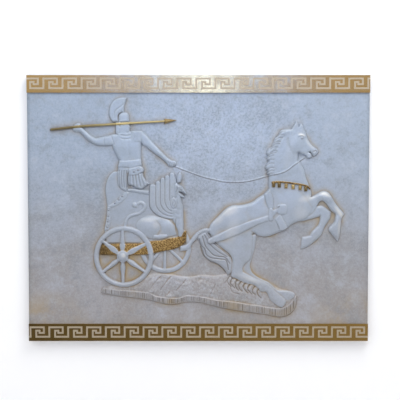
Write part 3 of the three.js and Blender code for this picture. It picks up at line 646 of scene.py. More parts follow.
def feather_gap(k, top, shift):
    """Down the gap between two feathers, then in a quarter turn to the wing's root."""
    root_x, root_z, step = WING_ROOT
    gap, knee = FEATHER_GAPS[k], FEATHER_KNEES[k]
    turns = np.linspace(0, math.pi / 2, 6)
    return [(gap + shift, top)] + [
        (gap + shift + (root_x - gap) * (1 - math.cos(t)),
         knee + shift - (knee - root_z - step * k) * math.sin(t)) for t in turns]


def draw_griffin(sheet):
    """The winged griffin on the car's side."""
    sheet.bar([(x, z, 4.4) for x, z in GRIFFIN_TAIL], 7.4)
    sheet.form(oval(-187, 12, 7, 7), 8.4, 7)
    body = sheet.form(GRIFFIN_BODY, 8.4, 12)
    sheet.swell(body, -140, -50, 40, 36, 4.6, 0.1)
    sheet.swell(body, -90, -54, 30, 26, 3.2)
    sheet.line([(-122, -36), (-113, -47), (-110, -58), (-115, -68), (-122, -80)], -1.3, 3.0)
    # Painted highlights along the haunch's top and beside its crease
    sheet.painted_highlight(body, -140, -32, 34, 8, 0.55)
    sheet.painted_highlight(body, -126, -46, 10, 16, 0.5, 0.4)
    sheet.form(GRIFFIN_FOOT, 11, 6)
    left = feather_gap(0, FEATHER_TIPS[0] - 10, 1.5)[::-1]
    right = feather_gap(len(FEATHER_TIPS), FEATHER_TIPS[-1] - 10, -1.5)
    wing = sheet.form([left[1:], right[:1], right[1:], left[:1]], 7.6, 3)
    # A faint painted highlight over the wing
    sheet.painted_highlight(wing, -108, 56, 50, 70, 0.14)
    for k, tip in enumerate(FEATHER_TIPS):
        half = (FEATHER_GAPS[k + 1] - FEATHER_GAPS[k]) / 2 + 0.5
        middle = (FEATHER_GAPS[k + 1] + FEATHER_GAPS[k]) / 2
        spring = tip - half
        crown = [(middle - half * math.cos(t), spring + half * math.sin(t))
                 for t in np.linspace(0, math.pi, 7)]
        left = feather_gap(k, spring, -0.5)[::-1]
        right = feather_gap(k + 1, spring, 0.5)
        sheet.form([left[1:], crown[1:], right[1:], left[:1]], 8.4 + 0.2 * k, 3.6,
                   wall=0.3, lift=0.5)
    for k, tip in enumerate(FEATHER_TIPS):
        sheet.line(feather_gap(k, tip - 6, 0), -1.3, 1.2, 0.3)
    sheet.form(oval(-71, 54, 9, 25), 8.6, 7)
    sheet.form(GRIFFIN_CHEST, 9.6, 10)
    sheet.line([(-66, -28), (-67.5, -52), (-64, -76)], -1.4, 1.3, 0.3)
    sheet.form(oval(-72, 18, 8.5, 16), 11.6, 8, moat=1.0)
    sheet.line([(-72, 27), (-67, 19), (-71, 9), (-76, 14), (-74, 21)], -0.8, 1.1, 0.2)
    head = sheet.form(GRIFFIN_HEAD, 9.9, 8)
    sheet.swell(head, -58, 66, 12, 10, 2.2)
    sheet.line([(-60, 61), (-52, 60), (-45, 56)], -0.9, 1.2)
    sheet.form(oval(-50, 58.5, 2.6, 2.2), 11.8, 2, moat=0.8, dark=0.2)
    sheet.line([(-56, 49.5), (-48, 46), (-41, 41)], -1.8, 1.8, 0.6)
    sheet.line([(-66, 50), (-62, 58), (-62, 68)], -1.2, 1.4, 0.3)
    for ear in GRIFFIN_EARS:
        sheet.form(ear, 9, 4)
    for k in range(3):
        sheet.line([(-70 + 2 * k, 4 - 14 * k), (-58, -2 - 14 * k), (-48, 2 - 14 * k)],
                   -0.6, 1.6)


def draw_near_wheel(sheet):
    """The near wheel with its turned spokes and its hub."""
    x, z = NEAR_HUB
    sheet.ring(NEAR_WHEEL, (88, 90), (72.5, 75.5), 10.2)
    for end in NEAR_SPOKES:
        spoke(sheet, NEAR_HUB, end, 9.4, 7.9)
    sheet.form(oval(x, z, 18, 18), 12.6, 8)
    boss = sheet.form(oval(x, z, 11, 11), 15.4, 9)
    # A painted highlight on the hub's boss
    sheet.painted_highlight(boss, -219, -136, 8, 7, 1.0)


def draw_horse(sheet):
    """The rearing horse, its mane and its head."""
    sheet.form(FAR_FORELEG, 7.0, 9)
    horse = sheet.form(HORSE, 9.4, 11, wall=0.3)
    for mass in HORSE_MASSES:
        sheet.swell(horse, *mass)
    # Pale spots painted where light would catch the horse
    for spot in HORSE_HIGHLIGHTS:
        sheet.painted_highlight(horse, *spot)
    sheet.line([(156, -65), (163, -70), (172, -75)], -1.2, 2.5)
    sheet.line([(300, 48), (318, 26), (332, 4), (326, -18)], -1.0, 5)
    sheet.line([(228, 60), (250, 40), (262, 10), (264, -30)], -0.6, 5)
    sheet.line([(140, -10), (152, -36), (150, -60)], -0.8, 7)
    sheet.line([(222, 100), (240, 92), (262, 96), (290, 104)], -0.5, 4)
    sheet.form(MANE, 9.8, 8, wall=0.1, moat=0.0)
    pick = np.random.default_rng(11).uniform
    z, mane_top = 102.0, 236
    while z < mane_top:
        lean = max(0, z - 150) * 0.45
        tip = (198 + lean + pick(-2, 3), z - pick(2, 8))
        root = (222 + lean + pick(-4, 0), z + pick(1, 6))
        sheet.line([tip, ((tip[0] + root[0]) / 2, z + 2), root], -pick(0.5, 1.1),
                   pick(1.2, 1.8), 0.3)
        z += pick(7, 13)
    head = sheet.form(HORSE_HEAD, 10.6, 8)
    sheet.swell(head, 284, 190, 26, 34, 3.2, -0.2)
    sheet.line([(260, 206), (264, 184), (276, 160)], -1.0, 3.0)
    sheet.form(HORSE_CHIN, 9.6, 5)
    for ear in HORSE_EARS:
        sheet.form(ear, 10.4, 4)
    sheet.form(oval(302, 206.5, 4.2, 3.4), 12.2, 3.4, dark=0.35)
    sheet.line([(292, 214), (301, 216.5), (309, 212)], 1.5, 2.2)
    # Painted highlights on the brow and on the bridge of the nose
    sheet.painted_highlight(head, 301, 217, 14, 5, 1.0, -0.3)
    sheet.painted_highlight(head, 324, 190, 22, 7, 0.5, -0.85)
    sheet.line([(320, 200), (330, 188), (342, 178)], 0.6, 2.5)
    sheet.line([(336, 168), (341, 171), (345, 168)], -1.3, 1.5, 0.6)


def draw_harness(sheet):
    """The reins, girths, shaft, buckle and knot, and the gilt collar with its pendants."""
    # A painted shadow under the reins: a shallow groove just below them, darkened
    sheet.line([(x + 0.5, z - 2.8) for x, z in REINS], -0.5, 1.2, 0.5)
    sheet.line(REINS, 1.1, 1.4)
    for part, height, round_over in ((GIRTH_UPPER, 13.0, 4), (GIRTH_LOWER, 13.0, 4),
                                     (TUG, 14, 4), (SHAFT, 14.4, 6), (BUCKLE, 15.4, 5),
                                     (KNOT, 15.0, 7)):
        sheet.form(part, height, round_over)
    sheet.line([(236, 8), (232, 4)], -1.0, 2, 0.5)
    for x, z, dark in PENDANTS:
        square = [[(x + 5, z + 7)], [(x + 4.4, z - 7)], [(x - 4.4, z - 7)], [(x - 5, z + 7)]]
        sheet.form(square, 14.4, 4, gold=1.0, dark=dark * 0.75, sleek=0.5)
    sheet.bar(COLLAR, 14.0, gold=1.0, dark=0.35, sleek=0.0)


def draw_charioteer(sheet):
    """The charioteer and the gilt spear."""
    sheet.form(CREST, 6.8, 5)
    sheet.line([(-217, 306), (-230, 295.5), (-239, 289), (-244, 279), (-244, 266)], -1.1, 1.5)
    sheet.form(NECK, 7, 7)
    sheet.form(FACE, 8.2, 6)
    sheet.form(HAIR, 8.6, 4)
    for k in range(4):
        sheet.line([(-238.5 + 2.8 * k, 252), (-238.5 + 2.6 * k, 236), (-238 + 2.6 * k, 220)],
                   -0.9, 1.0)
    sheet.form(HELMET, 9.8, 8)
    sheet.line([(-232, 256), (-217, 258), (-202, 257)], 0.9, 1.5)
    torso = sheet.form(TORSO, 8.6, 9)
    sheet.swell(torso, -205, 182, 42, 38, 2.6)
    sheet.line([(-203, 196), (-203, 178), (-202, 160)], -0.5, 2.5)
    for z in (216, 206.5):
        sheet.line([(-226, z), (-212, z - 2.5), (-199, z)], -1.1, 1.4)
    sheet.form(SPEAR_ARM, 8.6, 8)
    sheet.line([(-274, 209), (-275, 198), (-273, 187)], -1.2, 1.5)
    sheet.line([(-254, 212), (-249, 200), (-245, 188)], -1.2, 1.5)
    sheet.form(REIN_ARM, 8.8, 8)
    for k in range(4):
        sheet.line([(-88 + 5.4 * k, 138 - 0.6 * k), (-84 + 5 * k, 133 - 0.4 * k),
                    (-83 + 5 * k, 125.5)], -1.4, 1.1, 0.3)
    sheet.form(SHOULDER_FLAP, 10.2, 4)
    sheet.form(SKIRT_BACK, 9, 6)
    sheet.form(SKIRT_FRONT, 9.4, 6)
    back_pleats = [[(x, 112), (x - 1, 90), (x + 1, 64)] for x in (-231, -224, -217, -210)]
    front_pleats = [[(-200 + 8 * k, 104), (-200 + 9.2 * k, 84), (-200 + 10.4 * k, 64 + k)]
                    for k in range(6)]
    for pleat in back_pleats + front_pleats:
        sheet.line(pleat, -1.6, 1.6, 0.25)
    sheet.form(BELT, 10.4, 5)
    sheet.form(BELT_TAB, 11.4, 5)
    for x, z in ((-187.5, 109), (-175.5, 114.5)):
        sheet.form(oval(x, z, 3, 3), 12.4, 3, moat=0.8, dark=0.45)
    sheet.bar(SPEAR, 9.4, gold=1.0)
    sheet.form(SPEAR_POINT, 9.4, 5, gold=1.0, dark=0.25, sleek=0.5)
    # The spear, the only gilt above the reins, is darkest at its butt
    gilt = sheet.masks["gold"] * (ZS[:, None] > 225)
    sheet.mark("dark", ..., gilt * (0.75 - 0.6 * smooth(XS, -400, -170)))


def relief_sheet():
    """The whole relief: its heights and its finish masks."""
    sheet = Sheet()
    for draw_part in (draw_ground, draw_far_side, draw_car, draw_griffin, draw_near_wheel,
                      draw_horse, draw_harness, draw_charioteer):
        draw_part(sheet)
    sheet.height = np.clip(sheet.height, LOWEST, HIGHEST)
    close, broad = blurred(sheet.height, CLOSE_BLUR), blurred(sheet.height, BROAD_BLUR)
    # Hollow: how far a point lies below its close surroundings, where the wash paints patina and
    # the shade at the foot of each form
    sheet.masks["hollow"] = np.clip((close - sheet.height) / HOLLOW_DEPTH, 0, 1)
    sheet.masks["stain"] = np.maximum(np.clip((broad - sheet.height) / STAIN_DEPTH, 0, 1),
                                      sheet.masks.pop("ochre"))
    # Crown: how far a point stands above its close surroundings; paler paint there is a painted
    # highlight on raised edges, and dry-brushed wear too
    sheet.masks["crown"] = np.clip(sheet.height - close, 0, 1)
    return sheet


# ---------------------------------------------------------------------------------------
# From lattice to mesh: big cells where the relief is plain, small ones at its edges.

# The biggest cell, in lattice steps, and by how much the height or the gilt may depart
# from a cell's corners before it splits
BIGGEST = 8
HEIGHT_ROOM, GOLD_ROOM = 0.18, 0.3
EDGE_ROUND = 1.5


def split_cells(fields, rooms):
    """For each cell size, whether a cell departs too much from its four corners."""
    splits = {}
    size = BIGGEST
    while size >= 2:
        rows, columns = (ROWS - 1) // size, (COLUMNS - 1) // size
        t = np.linspace(0, 1, size + 1)
        worst = np.zeros((rows, columns))
        for field, room in zip(fields, rooms):
            low = field[:rows * size + 1:size, :columns * size + 1:size]
            for i in range(size + 1):
                for j in range(size + 1):
                    guess = ((1 - t[i]) * (1 - t[j]) * low[:-1, :-1]
                             + (1 - t[i]) * t[j] * low[:-1, 1:]
                             + t[i] * (1 - t[j]) * low[1:, :-1]
                             + t[i] * t[j] * low[1:, 1:])
                    real = field[i:i + (rows - 1) * size + 1:size,
                                 j:j + (columns - 1) * size + 1:size]
                    worst = np.maximum(worst, np.abs(real - guess) / room)
        splits[size] = worst > 1
        size //= 2
    return splits


def cells_of(splits):
    """The cells that the lattice is cut into, as rows, columns and their size."""
    leaves = []
    size = BIGGEST
    live = np.ones(splits[size].shape, bool)
    while size >= 2:
        # A cell splits too where one of its own quarters would
        deep = splits[size].copy()
        finer = size // 2
        while finer >= 2:
            n = size // finer
            small = splits[finer][:deep.shape[0] * n, :deep.shape[1] * n]
            deep |= small.reshape(deep.shape[0], n, deep.shape[1], n).any((1, 3))
            finer //= 2
        rows, columns = np.nonzero(live & ~deep)
        leaves.append((rows * size, columns * size, size))
        live = (live & deep).repeat(2, 0).repeat(2, 1)
        size //= 2
    return leaves + [(*np.nonzero(live), 1)]


def lattice_faces(sheet):
    """Faces over the lattice points; neighbours of other sizes share their points."""
    leaves = cells_of(split_cells([sheet.height, sheet.masks["gold"]],
                                  [HEIGHT_ROOM, GOLD_ROOM]))
    used = np.zeros((ROWS, COLUMNS), bool)
    for i, j, size in leaves:
        for a, b in ((0, 0), (0, size), (size, 0), (size, size)):
            used[i + a, j + b] = True
    index = np.arange(ROWS * COLUMNS).reshape(ROWS, COLUMNS)
    faces = []
    for rows, columns, size in leaves:
        if size == 1:
            faces += np.stack([index[rows, columns], index[rows, columns + 1],
                               index[rows + 1, columns + 1], index[rows + 1, columns]],
                              1).tolist()
            continue
        for i, j in zip(rows.tolist(), columns.tolist()):
            block = used[i:i + size + 1, j:j + size + 1]
            ids = index[i:i + size + 1, j:j + size + 1]
            rim = []
            for edge in ((0, slice(None, -1)), (slice(None, -1), -1),
                         (-1, slice(None, 0, -1)), (slice(None, 0, -1), 0)):
                rim += ids[edge][block[edge]].tolist()
            if len(rim) == 4:
                faces.append(rim)
                continue
            middle = int(ids[size // 2, size // 2])
            faces += [[middle, a, b] for a, b in zip(rim, rim[1:] + rim[:1])]
    return faces


def relief_mesh(name, sheet, low, high, face):
    """A closed mesh: the relief in front, plain sides and a flat back."""
    faces = lattice_faces(sheet)
    seen = sorted({corner for f in faces for corner in f})
    number = {old: new for new, old in enumerate(seen)}
    rows, columns = np.divmod(np.array(seen), COLUMNS)
    x, z = XS[columns], ZS[rows]
    rim_distance = np.minimum.reduce([x - XS[0], XS[-1] - x, z - ZS[0], ZS[-1] - z])
    drop = EDGE_ROUND - np.sqrt(np.maximum(
        EDGE_ROUND ** 2 - np.clip(EDGE_ROUND - rim_distance, 0, EDGE_ROUND) ** 2, 0))
    y = face / MM - sheet.height[rows, columns] + drop
    points = np.stack([x * MM, y * MM, z * MM], 1)
    points[:, 0] = np.clip(points[:, 0], low.x, high.x)
    points[:, 2] = np.clip(points[:, 2], low.z, high.z)
    polygons = [[number[c] for c in f] for f in faces]
    # Rim points in order, then the sides and the back
    last_row, last_column = ROWS - 1, COLUMNS - 1
    round_trip = ([(0, c) for c in range(last_column)]
                  + [(r, last_column) for r in range(last_row)]
                  + [(last_row, c) for c in range(last_column, 0, -1)]
                  + [(r, 0) for r in range(last_row, 0, -1)])
    rim = [number[r * COLUMNS + c] for r, c in round_trip if r * COLUMNS + c in number]
    back = points[rim].copy()
    back[:, 1] = high.y
    start, count = len(points), len(rim)
    points = np.vstack([points, back])
    for k in range(count):
        after = (k + 1) % count
        polygons.append([rim[k], start + k, start + after, rim[after]])
    polygons.append([start + k for k in range(count)][::-1])
    mesh = bpy.data.meshes.new(name)
    mesh.from_pydata(points.tolist(), [], polygons)
    mesh.validate()
    for mask, values in sheet.masks.items():
        layer = mesh.attributes.new(mask, "FLOAT", "POINT")
        data = np.zeros(len(points), np.float32)
        data[:start] = values[rows, columns]
        layer.data.foreach_set("value", data)
    smooth_flags = np.arange(len(mesh.polygons)) < len(faces)
    mesh.polygons.foreach_set("use_smooth", smooth_flags)
    mesh.update()
    made = bpy.data.objects.new(name, mesh)
    bpy.context.scene.collection.objects.link(made)
    return made


# ---------------------------------------------------------------------------------------
# Finishes

def rgb(*screen):
    """Screen colour, 0 to 255, as a linear colour for a shader socket."""
    shares = [value / 255 for value in screen]
    return (*[s / 12.92 if s <= 0.04045 else ((s + 0.055) / 1.055) ** 2.4
              for s in shares], 1)


BLUE_MURK, WARM_MURK = rgb(136, 146, 156), rgb(150, 141, 130)
DARK_MOTTLE, PALE_MOTTLE = rgb(136, 142, 148), rgb(184, 192, 204)
LIT_SIDE_PAINT, SLEEK_PAINT = rgb(188, 198, 212), rgb(190, 200, 214)
BLUE_SHEEN_PAINT, PALE_FLECK, DARK_PIT = rgb(188, 202, 224), rgb(186, 196, 212), rgb(116, 124, 132)
DARK_CRUMB, PALE_CRUMB = rgb(128, 116, 102), rgb(198, 204, 212)
OCHRE_STAIN, BLUE_WASH, BROWN_WASH = rgb(170, 151, 117), rgb(122, 132, 146), rgb(124, 100, 70)
EDGE_HIGHLIGHT_AND_WEAR, HIGHLIGHT_PAINT, DARK_LINE = rgb(212, 216, 222), rgb(236, 232, 222), rgb(78, 62, 42)
DARK_CAST, PALE_CAST, CAST_SPECK = rgb(178, 172, 162), rgb(204, 199, 189), rgb(140, 132, 120)
MATT_GOLD, SLEEK_GOLD = rgb(200, 168, 108), rgb(234, 216, 158)
GOLD_PIT, DARK_GILT = rgb(104, 76, 38), rgb(44, 34, 16)
STRIP_WASH, KEY_GRAIN = rgb(120, 88, 40), rgb(150, 138, 124)
# Where the strip's gilt face gives way to the raised key line
KEY_BACK, KEY_FRONT = -29.55 * MM, -29.75 * MM
# What stands round the panel: cards, the floor and the room as gloss sees them, the
# room as the paint sees it, and the backdrop
WALL_WHITE, FLOOR_WHITE, CARD_MOTTLE = rgb(252, 252, 252), rgb(235, 234, 232), rgb(235, 236, 238)
DIM_FLOOR, LIT_FLOOR = (0.05, 0.045, 0.025, 1), (0.42, 0.36, 0.24, 1)
ROOM_BELOW, ROOM_ABOVE = (0.14, 0.12, 0.09, 1), (0.74, 0.68, 0.62, 1)
ROOM_FILL, BACKDROP = (0.68, 0.68, 0.69, 1), (0.98, 0.98, 0.98, 1)
# The mix node's sockets for two colours and for what comes of them
MIX_FIRST, MIX_SECOND, MIX_RESULT = 6, 7, 2


def new_group(name, inputs, outputs):
    """A node group of floats, its input and its output node."""
    group = bpy.data.node_groups.new(name, "ShaderNodeTree")
    for label, default in inputs:
        socket = group.interface.new_socket(label, in_out="INPUT",
                                            socket_type="NodeSocketFloat")
        socket.default_value = default
    for label in outputs:
        group.interface.new_socket(label, in_out="OUTPUT", socket_type="NodeSocketFloat")
    given, out = [group.nodes.new(kind) for kind in ("NodeGroupInput", "NodeGroupOutput")]
    return group, Wires(group), given.outputs, out.inputs


class Wires:
    """Short ways to place and join nodes in one tree."""

    def __init__(self, tree):
        self.tree = tree

    def node(self, kind, **settings):
        made = self.tree.nodes.new(kind)
        for key, value in settings.items():
            setattr(made, key, value)
        return made

    def join(self, source, target):
        self.tree.links.new(source, target)

    def feed(self, made, **values):
        """Joins a socket to an input, or sets it, by its label."""
        for label, value in values.items():
            self.put(made.inputs[label.replace("_", " ")], value)

    def put(self, target, value):
        if isinstance(value, bpy.types.NodeSocket):
            self.join(value, target)
        else:
            target.default_value = value

    def math(self, operation, a, b, clamp=False):
        made = self.node("ShaderNodeMath", operation=operation, use_clamp=clamp)
        self.put(made.inputs[0], a)
        self.put(made.inputs[1], b)
        return made.outputs[0]

    def times(self, a, b, clamp=False):
        return self.math("MULTIPLY", a, b, clamp)

    def plus(self, a, b):
        return self.math("ADD", a, b)

    def most(self, a, b):
        return self.math("MAXIMUM", a, b)

    def rest(self, a):
        """What is left of 1."""
        return self.math("SUBTRACT", 1.0, a)

    def ramp(self, value, low, high, out_low=0.0, out_high=1.0):
        made = self.node("ShaderNodeMapRange", interpolation_type="SMOOTHSTEP")
        self.feed(made, Value=value, From_Min=low, From_Max=high, To_Min=out_low,
                  To_Max=out_high)
        return made.outputs["Result"]

    def mix(self, factor, a, b):
        made = self.node("ShaderNodeMix", data_type="RGBA")
        self.feed(made, Factor=factor)
        self.put(made.inputs[MIX_FIRST], a)
        self.put(made.inputs[MIX_SECOND], b)
        return made.outputs[MIX_RESULT]

    def coats(self, ground, *coats):
        """Lays colours over the ground, each by its own share."""
        for share, colour in coats:
            ground = self.mix(share, ground, colour)
        return ground

    def place(self, kind="Object"):
        return self.node("ShaderNodeTexCoord").outputs[kind]

    def axes(self, vector):
        apart = self.node("ShaderNodeSeparateXYZ")
        self.join(vector, apart.inputs[0])
        return apart.outputs

    def noise(self, vector, scale, detail=3.0, rough=0.5):
        made = self.node("ShaderNodeTexNoise")
        self.feed(made, Vector=vector, Scale=scale, Detail=detail, Roughness=rough)
        return made.outputs["Fac"]

    def mask(self, name):
        """A mask that the relief's mesh carries at its points."""
        return self.node("ShaderNodeAttribute", attribute_name=name).outputs["Fac"]

    def soft_patch(self, place, centre, spread):
        """1 at a place on the panel, fading to 0 at its spread; all in metres."""
        moved = self.node("ShaderNodeMapping", vector_type="TEXTURE")
        self.feed(moved, Vector=place, Location=(centre[0], 0, centre[1]),
                  Scale=(spread[0], 1, spread[1]))
        fade = self.node("ShaderNodeTexGradient", gradient_type="SPHERICAL")
        self.feed(fade, Vector=moved.outputs["Vector"])
        return fade.outputs["Fac"]

    def bump(self, shader, height, strength, distance):
        made = self.node("ShaderNodeBump")
        self.feed(made, Height=height, Strength=strength, Distance=distance)
        self.join(made.outputs["Normal"], shader.inputs["Normal"])

    def placed(self, group, **values):
        """A node group with its own values."""
        made = self.node("ShaderNodeGroup")
        made.node_tree = group
        self.feed(made, **values)
        return made.outputs


def cast_grain_group():
    """The uneven skin of a moulded cast: soft dents, fine grain and their height."""
    group, w, given, out = new_group(
        "Cast grain", [("Dent Scale", 90.0), ("Grain Scale", 700.0), ("Dent Share", 0.7)],
        ["Dents", "Grain", "Height"])
    place = w.place()
    dents = w.noise(place, given["Dent Scale"], 2.0, 0.45)
    grain = w.noise(place, given["Grain Scale"], 3.0, 0.6)
    share = given["Dent Share"]
    w.join(dents, out["Dents"])
    w.join(grain, out["Grain"])
    w.join(w.plus(w.times(dents, share), w.times(grain, w.rest(share))), out["Height"])
    return group


def patina_and_shade_group():
    """Brown wash that has stayed in the hollows, broken up by cloudy wear; on the relief it is
    patina and painted shade in one.
    """
    group, w, given, out = new_group(
        "Patina and shade wash", [("Hollow", 0.0), ("Amount", 1.0), ("Cloud Scale", 14.0)],
        ["Wash", "Clouds"])
    clouds = w.noise(w.place(), given["Cloud Scale"], 5.0, 0.6)
    held = w.times(given["Hollow"], w.ramp(clouds, 0.3, 0.68, 0.55, 1.25))
    w.join(w.times(held, given["Amount"], clamp=True), out["Wash"])
    w.join(clouds, out["Clouds"])
    return group


def new_material(name):
    """A material with its wires and its Principled shader."""
    made = bpy.data.materials.new(name)
    made.use_nodes = True
    made.node_tree.nodes.clear()
    w = Wires(made.node_tree)
    shader = w.node("ShaderNodeBsdfPrincipled")
    w.join(shader.outputs[0], w.node("ShaderNodeOutputMaterial").inputs["Surface"])
    return made, w, shader


def pearl_paint(settings, grain, patina_and_shade):
    """Satin pearl paint with a brown wash in the hollows, patina and painted shade in one,
    painted highlights, and gilt places.
    """
    made, w, shader = new_material("Pearl paint with patina")
    skin = w.placed(grain, Dent_Scale=170.0, Grain_Scale=620.0, Dent_Share=0.55)
    wash = w.placed(patina_and_shade, Hollow=w.mask("hollow"), Amount=settings.patina_and_shade,
                    Cloud_Scale=9.0)
    clouds = wash["Clouds"]
    place = w.place()
    _, depth, height = w.axes(place)
    billow, mottle = w.noise(place, 6.0, 8.0, 0.66), w.noise(place, 26.0, 6.0, 0.72)
    speckle, crumbs = w.noise(place, 190.0, 5.0, 0.8), w.noise(place, 140.0, 6.0, 0.7)
    leaf = w.noise(place, 300.0, 4.0, 0.75)
    sleek, dark, gilt = w.mask("sleek"), w.mask("dark"), w.mask("gold")
    # Smooth forms show less of the mottling than the ground does
    rough_share = w.ramp(sleek, 0.0, 1.0, 1.0, 0.48)
    crag = w.times(w.mask("crag"), rough_share)
    drift = w.plus(height, w.times(clouds, 0.18))
    lower = w.times(w.ramp(drift, 0.34, -0.26), w.ramp(sleek, 0.0, 1.0, 1.0, 0.58))

    def flecks(noise, low, high, most, where=rough_share):
        return w.times(w.ramp(noise, low, high, 0.0, most), where)

    # Clouds: darker blue grey in the upper field and ochre low down, few at the sides
    cloudy = w.times(flecks(billow, 0.58, 0.4, 0.62), w.ramp(drift, 0.3, -0.2, 1.0, 0.6))
    for spot, spread in (((-0.38, 0.24), (0.26, 0.22)), ((0.43, 0.2), (0.26, 0.3))):
        cloudy = w.times(cloudy, w.ramp(w.soft_patch(place, spot, spread), 0.0, 0.6,
                                        1.0, 0.15))
    # A painted sheen: a bright speckled patch high in the middle, where the upper ground would
    # mirror a light
    painted_sheen = w.times(w.soft_patch(place, (0.05, 0.22), (0.36, 0.24)),
                    w.ramp(speckle, 0.38, 0.6, 0.1, 0.6))
    stain = w.times(w.mask("stain"), w.ramp(clouds, 0.4, 0.62, 0.08, 1.1))
    stain = w.times(stain, w.ramp(drift, 0.3, -0.1, 0.45, 1.0))
    for x in (-0.47, 0.47):
        corner = w.times(w.soft_patch(place, (x, -0.34), (0.16, 0.11)), rough_share)
        stain = w.most(stain, w.times(corner, w.ramp(billow, 0.4, 0.55)))
    paint = w.coats(
        (*settings.pearl, 1),
        (lower, (*settings.dusk, 1)),
        (cloudy, w.mix(lower, BLUE_MURK, WARM_MURK)),
        # A painted pool of light: the right of the upper ground paler
        (w.times(w.soft_patch(place, (0.44, 0.2), (0.24, 0.34)), 0.22), LIT_SIDE_PAINT),
        (flecks(mottle, 0.5, 0.34, 0.4), DARK_MOTTLE),
        (flecks(mottle, 0.52, 0.68, 0.4), PALE_MOTTLE),
        (w.times(sleek, 0.08), SLEEK_PAINT),
        # The painted sheen, speckled, only on the rough ground
        (w.times(painted_sheen, rough_share, clamp=True), BLUE_SHEEN_PAINT),
        (flecks(speckle, 0.46, 0.66, 0.26), PALE_FLECK),
        (flecks(speckle, 0.5, 0.34, 0.24), DARK_PIT),
        (flecks(crumbs, 0.5, 0.38, 0.26, crag), DARK_CRUMB),
        (flecks(crumbs, 0.52, 0.64, 0.34, crag), PALE_CRUMB),
        (stain, OCHRE_STAIN),
        # Patina and painted shade in the hollows, bluer higher up and browner lower down
        (w.times(wash["Wash"], 0.5), w.mix(w.ramp(drift, 0.15, -0.12), BLUE_WASH, BROWN_WASH)),
        # Raised edges a little paler: painted highlight, and dry-brushed wear as well
        (w.times(w.mask("crown"), 0.16), EDGE_HIGHLIGHT_AND_WEAR),
        # Painted highlights: warm white laid where light would catch the forms
        (w.times(w.mask("painted_highlight"), 0.42), HIGHLIGHT_PAINT),
        (dark, DARK_LINE))
    # Bare cast on the back, gold leaf on the gilt places
    bare = w.ramp(depth, -3 * MM, -0.4 * MM)
    cast = w.coats(DARK_CAST, (w.ramp(mottle, 0.35, 0.65), PALE_CAST),
                   (w.ramp(speckle, 0.42, 0.3, 0.0, 0.6), CAST_SPECK))
    leafed = w.most(w.ramp(leaf, 0.4, 0.62), w.times(sleek, 0.85))
    gold = w.coats(GOLD_PIT, (leafed, w.mix(sleek, MATT_GOLD, SLEEK_GOLD)),
                   (dark, DARK_GILT))
    rough = w.plus(w.ramp(skin["Grain"], 0.3, 0.7, 0.36, 0.5), w.times(wash["Wash"], 0.2))
    w.feed(shader, Base_Color=w.coats(paint, (bare, cast), (gilt, gold)),
           Roughness=w.most(rough, w.times(bare, 0.85)),
           Metallic=w.times(w.ramp(gilt, 0.0, 1.0, 0.2, 0.5), w.rest(bare)))
    w.bump(shader, w.plus(skin["Height"], w.times(crag, w.times(crumbs, 1.4))),
           w.plus(w.ramp(sleek, 0.0, 1.0, 0.4, 0.12), w.times(bare, 0.5)), 0.0016)
    return made


def gilded_metal(settings, grain, patina_and_shade):
    """Polished gilt strip; the raised key line is matt and pale."""
    made, w, shader = new_material("Gilded strip with matt key")
    skin = w.placed(grain, Dent_Scale=26.0, Grain_Scale=900.0, Dent_Share=0.6)
    fret = w.ramp(w.axes(w.place())["Y"], KEY_BACK, KEY_FRONT)
    wash = w.placed(patina_and_shade, Hollow=w.rest(fret), Amount=0.16, Cloud_Scale=20.0)
    gold = w.mix(wash["Wash"], (*settings.gold, 1), STRIP_WASH)
    pale = w.mix(w.ramp(skin["Grain"], 0.35, 0.65, 0.0, 0.4), (*settings.key, 1), KEY_GRAIN)
    shine = w.ramp(skin["Dents"], 0.3, 0.7, 0.14, 0.22)
    w.feed(shader, Base_Color=w.mix(fret, gold, pale),
           Metallic=w.ramp(fret, 0.0, 1.0, 1.0, 0.6),
           Roughness=w.most(shine, w.times(fret, 0.55)))
    w.bump(shader, skin["Height"], 0.12, 0.001)
    return made


def stage_card(name, colour):
    """A matt card of the stage, with its wires and its shader."""
    made, w, shader = new_material(name)
    mottle = w.times(w.noise(w.place(), 3.0), 0.04)
    w.feed(shader, Base_Color=w.mix(mottle, colour, CARD_MOTTLE), Roughness=0.95,
           Specular_IOR_Level=0.1)
    return made, w, shader


def instead(w, shader, factor, other):
    """Shows the other shader where the factor is 1."""
    either = w.node("ShaderNodeMixShader")
    for socket, source in zip(either.inputs, (factor, shader.outputs[0], other.outputs[0])):
        w.join(source, socket)
    out = next(n for n in w.tree.nodes if n.type == "OUTPUT_MATERIAL")
    w.join(either.outputs[0], out.inputs["Surface"])


def wall_card():
    """The wall; from behind it lets the camera through."""
    made, w, shader = stage_card("Wall card", WALL_WHITE)
    instead(w, shader, w.node("ShaderNodeNewGeometry").outputs["Backfacing"],
            w.node("ShaderNodeBsdfTransparent"))
    return made


def floor_card():
    """The pale floor; gloss on the object sees it as a dark room instead."""
    made, w, shader = stage_card("Floor card", FLOOR_WHITE)
    # To glossy rays the floor glows instead: a painted reflection of a room, dim to the left and
    # brighter to the right
    glow = w.node("ShaderNodeEmission")
    across = w.ramp(w.axes(w.place())["X"], -1.6, 1.6)
    w.feed(glow, Color=w.mix(across, DIM_FLOOR, LIT_FLOOR))
    instead(w, shader, w.node("ShaderNodeLightPath").outputs["Is Glossy Ray"], glow)
    return made


def pale_room():
    """White to the camera; gloss sees a room that is darker below."""
    world = bpy.data.worlds.new("Pale room")
    world.use_nodes = True
    w = Wires(world.node_tree)
    path = w.node("ShaderNodeLightPath").outputs
    upward = w.ramp(w.axes(w.place("Generated"))["Z"], -0.1, 0.15)
    room = w.mix(upward, ROOM_BELOW, ROOM_ABOVE)
    seen = w.mix(path["Is Glossy Ray"], ROOM_FILL, room)
    w.feed(world.node_tree.nodes["Background"],
           Color=w.mix(path["Is Camera Ray"], seen, BACKDROP))
    return world


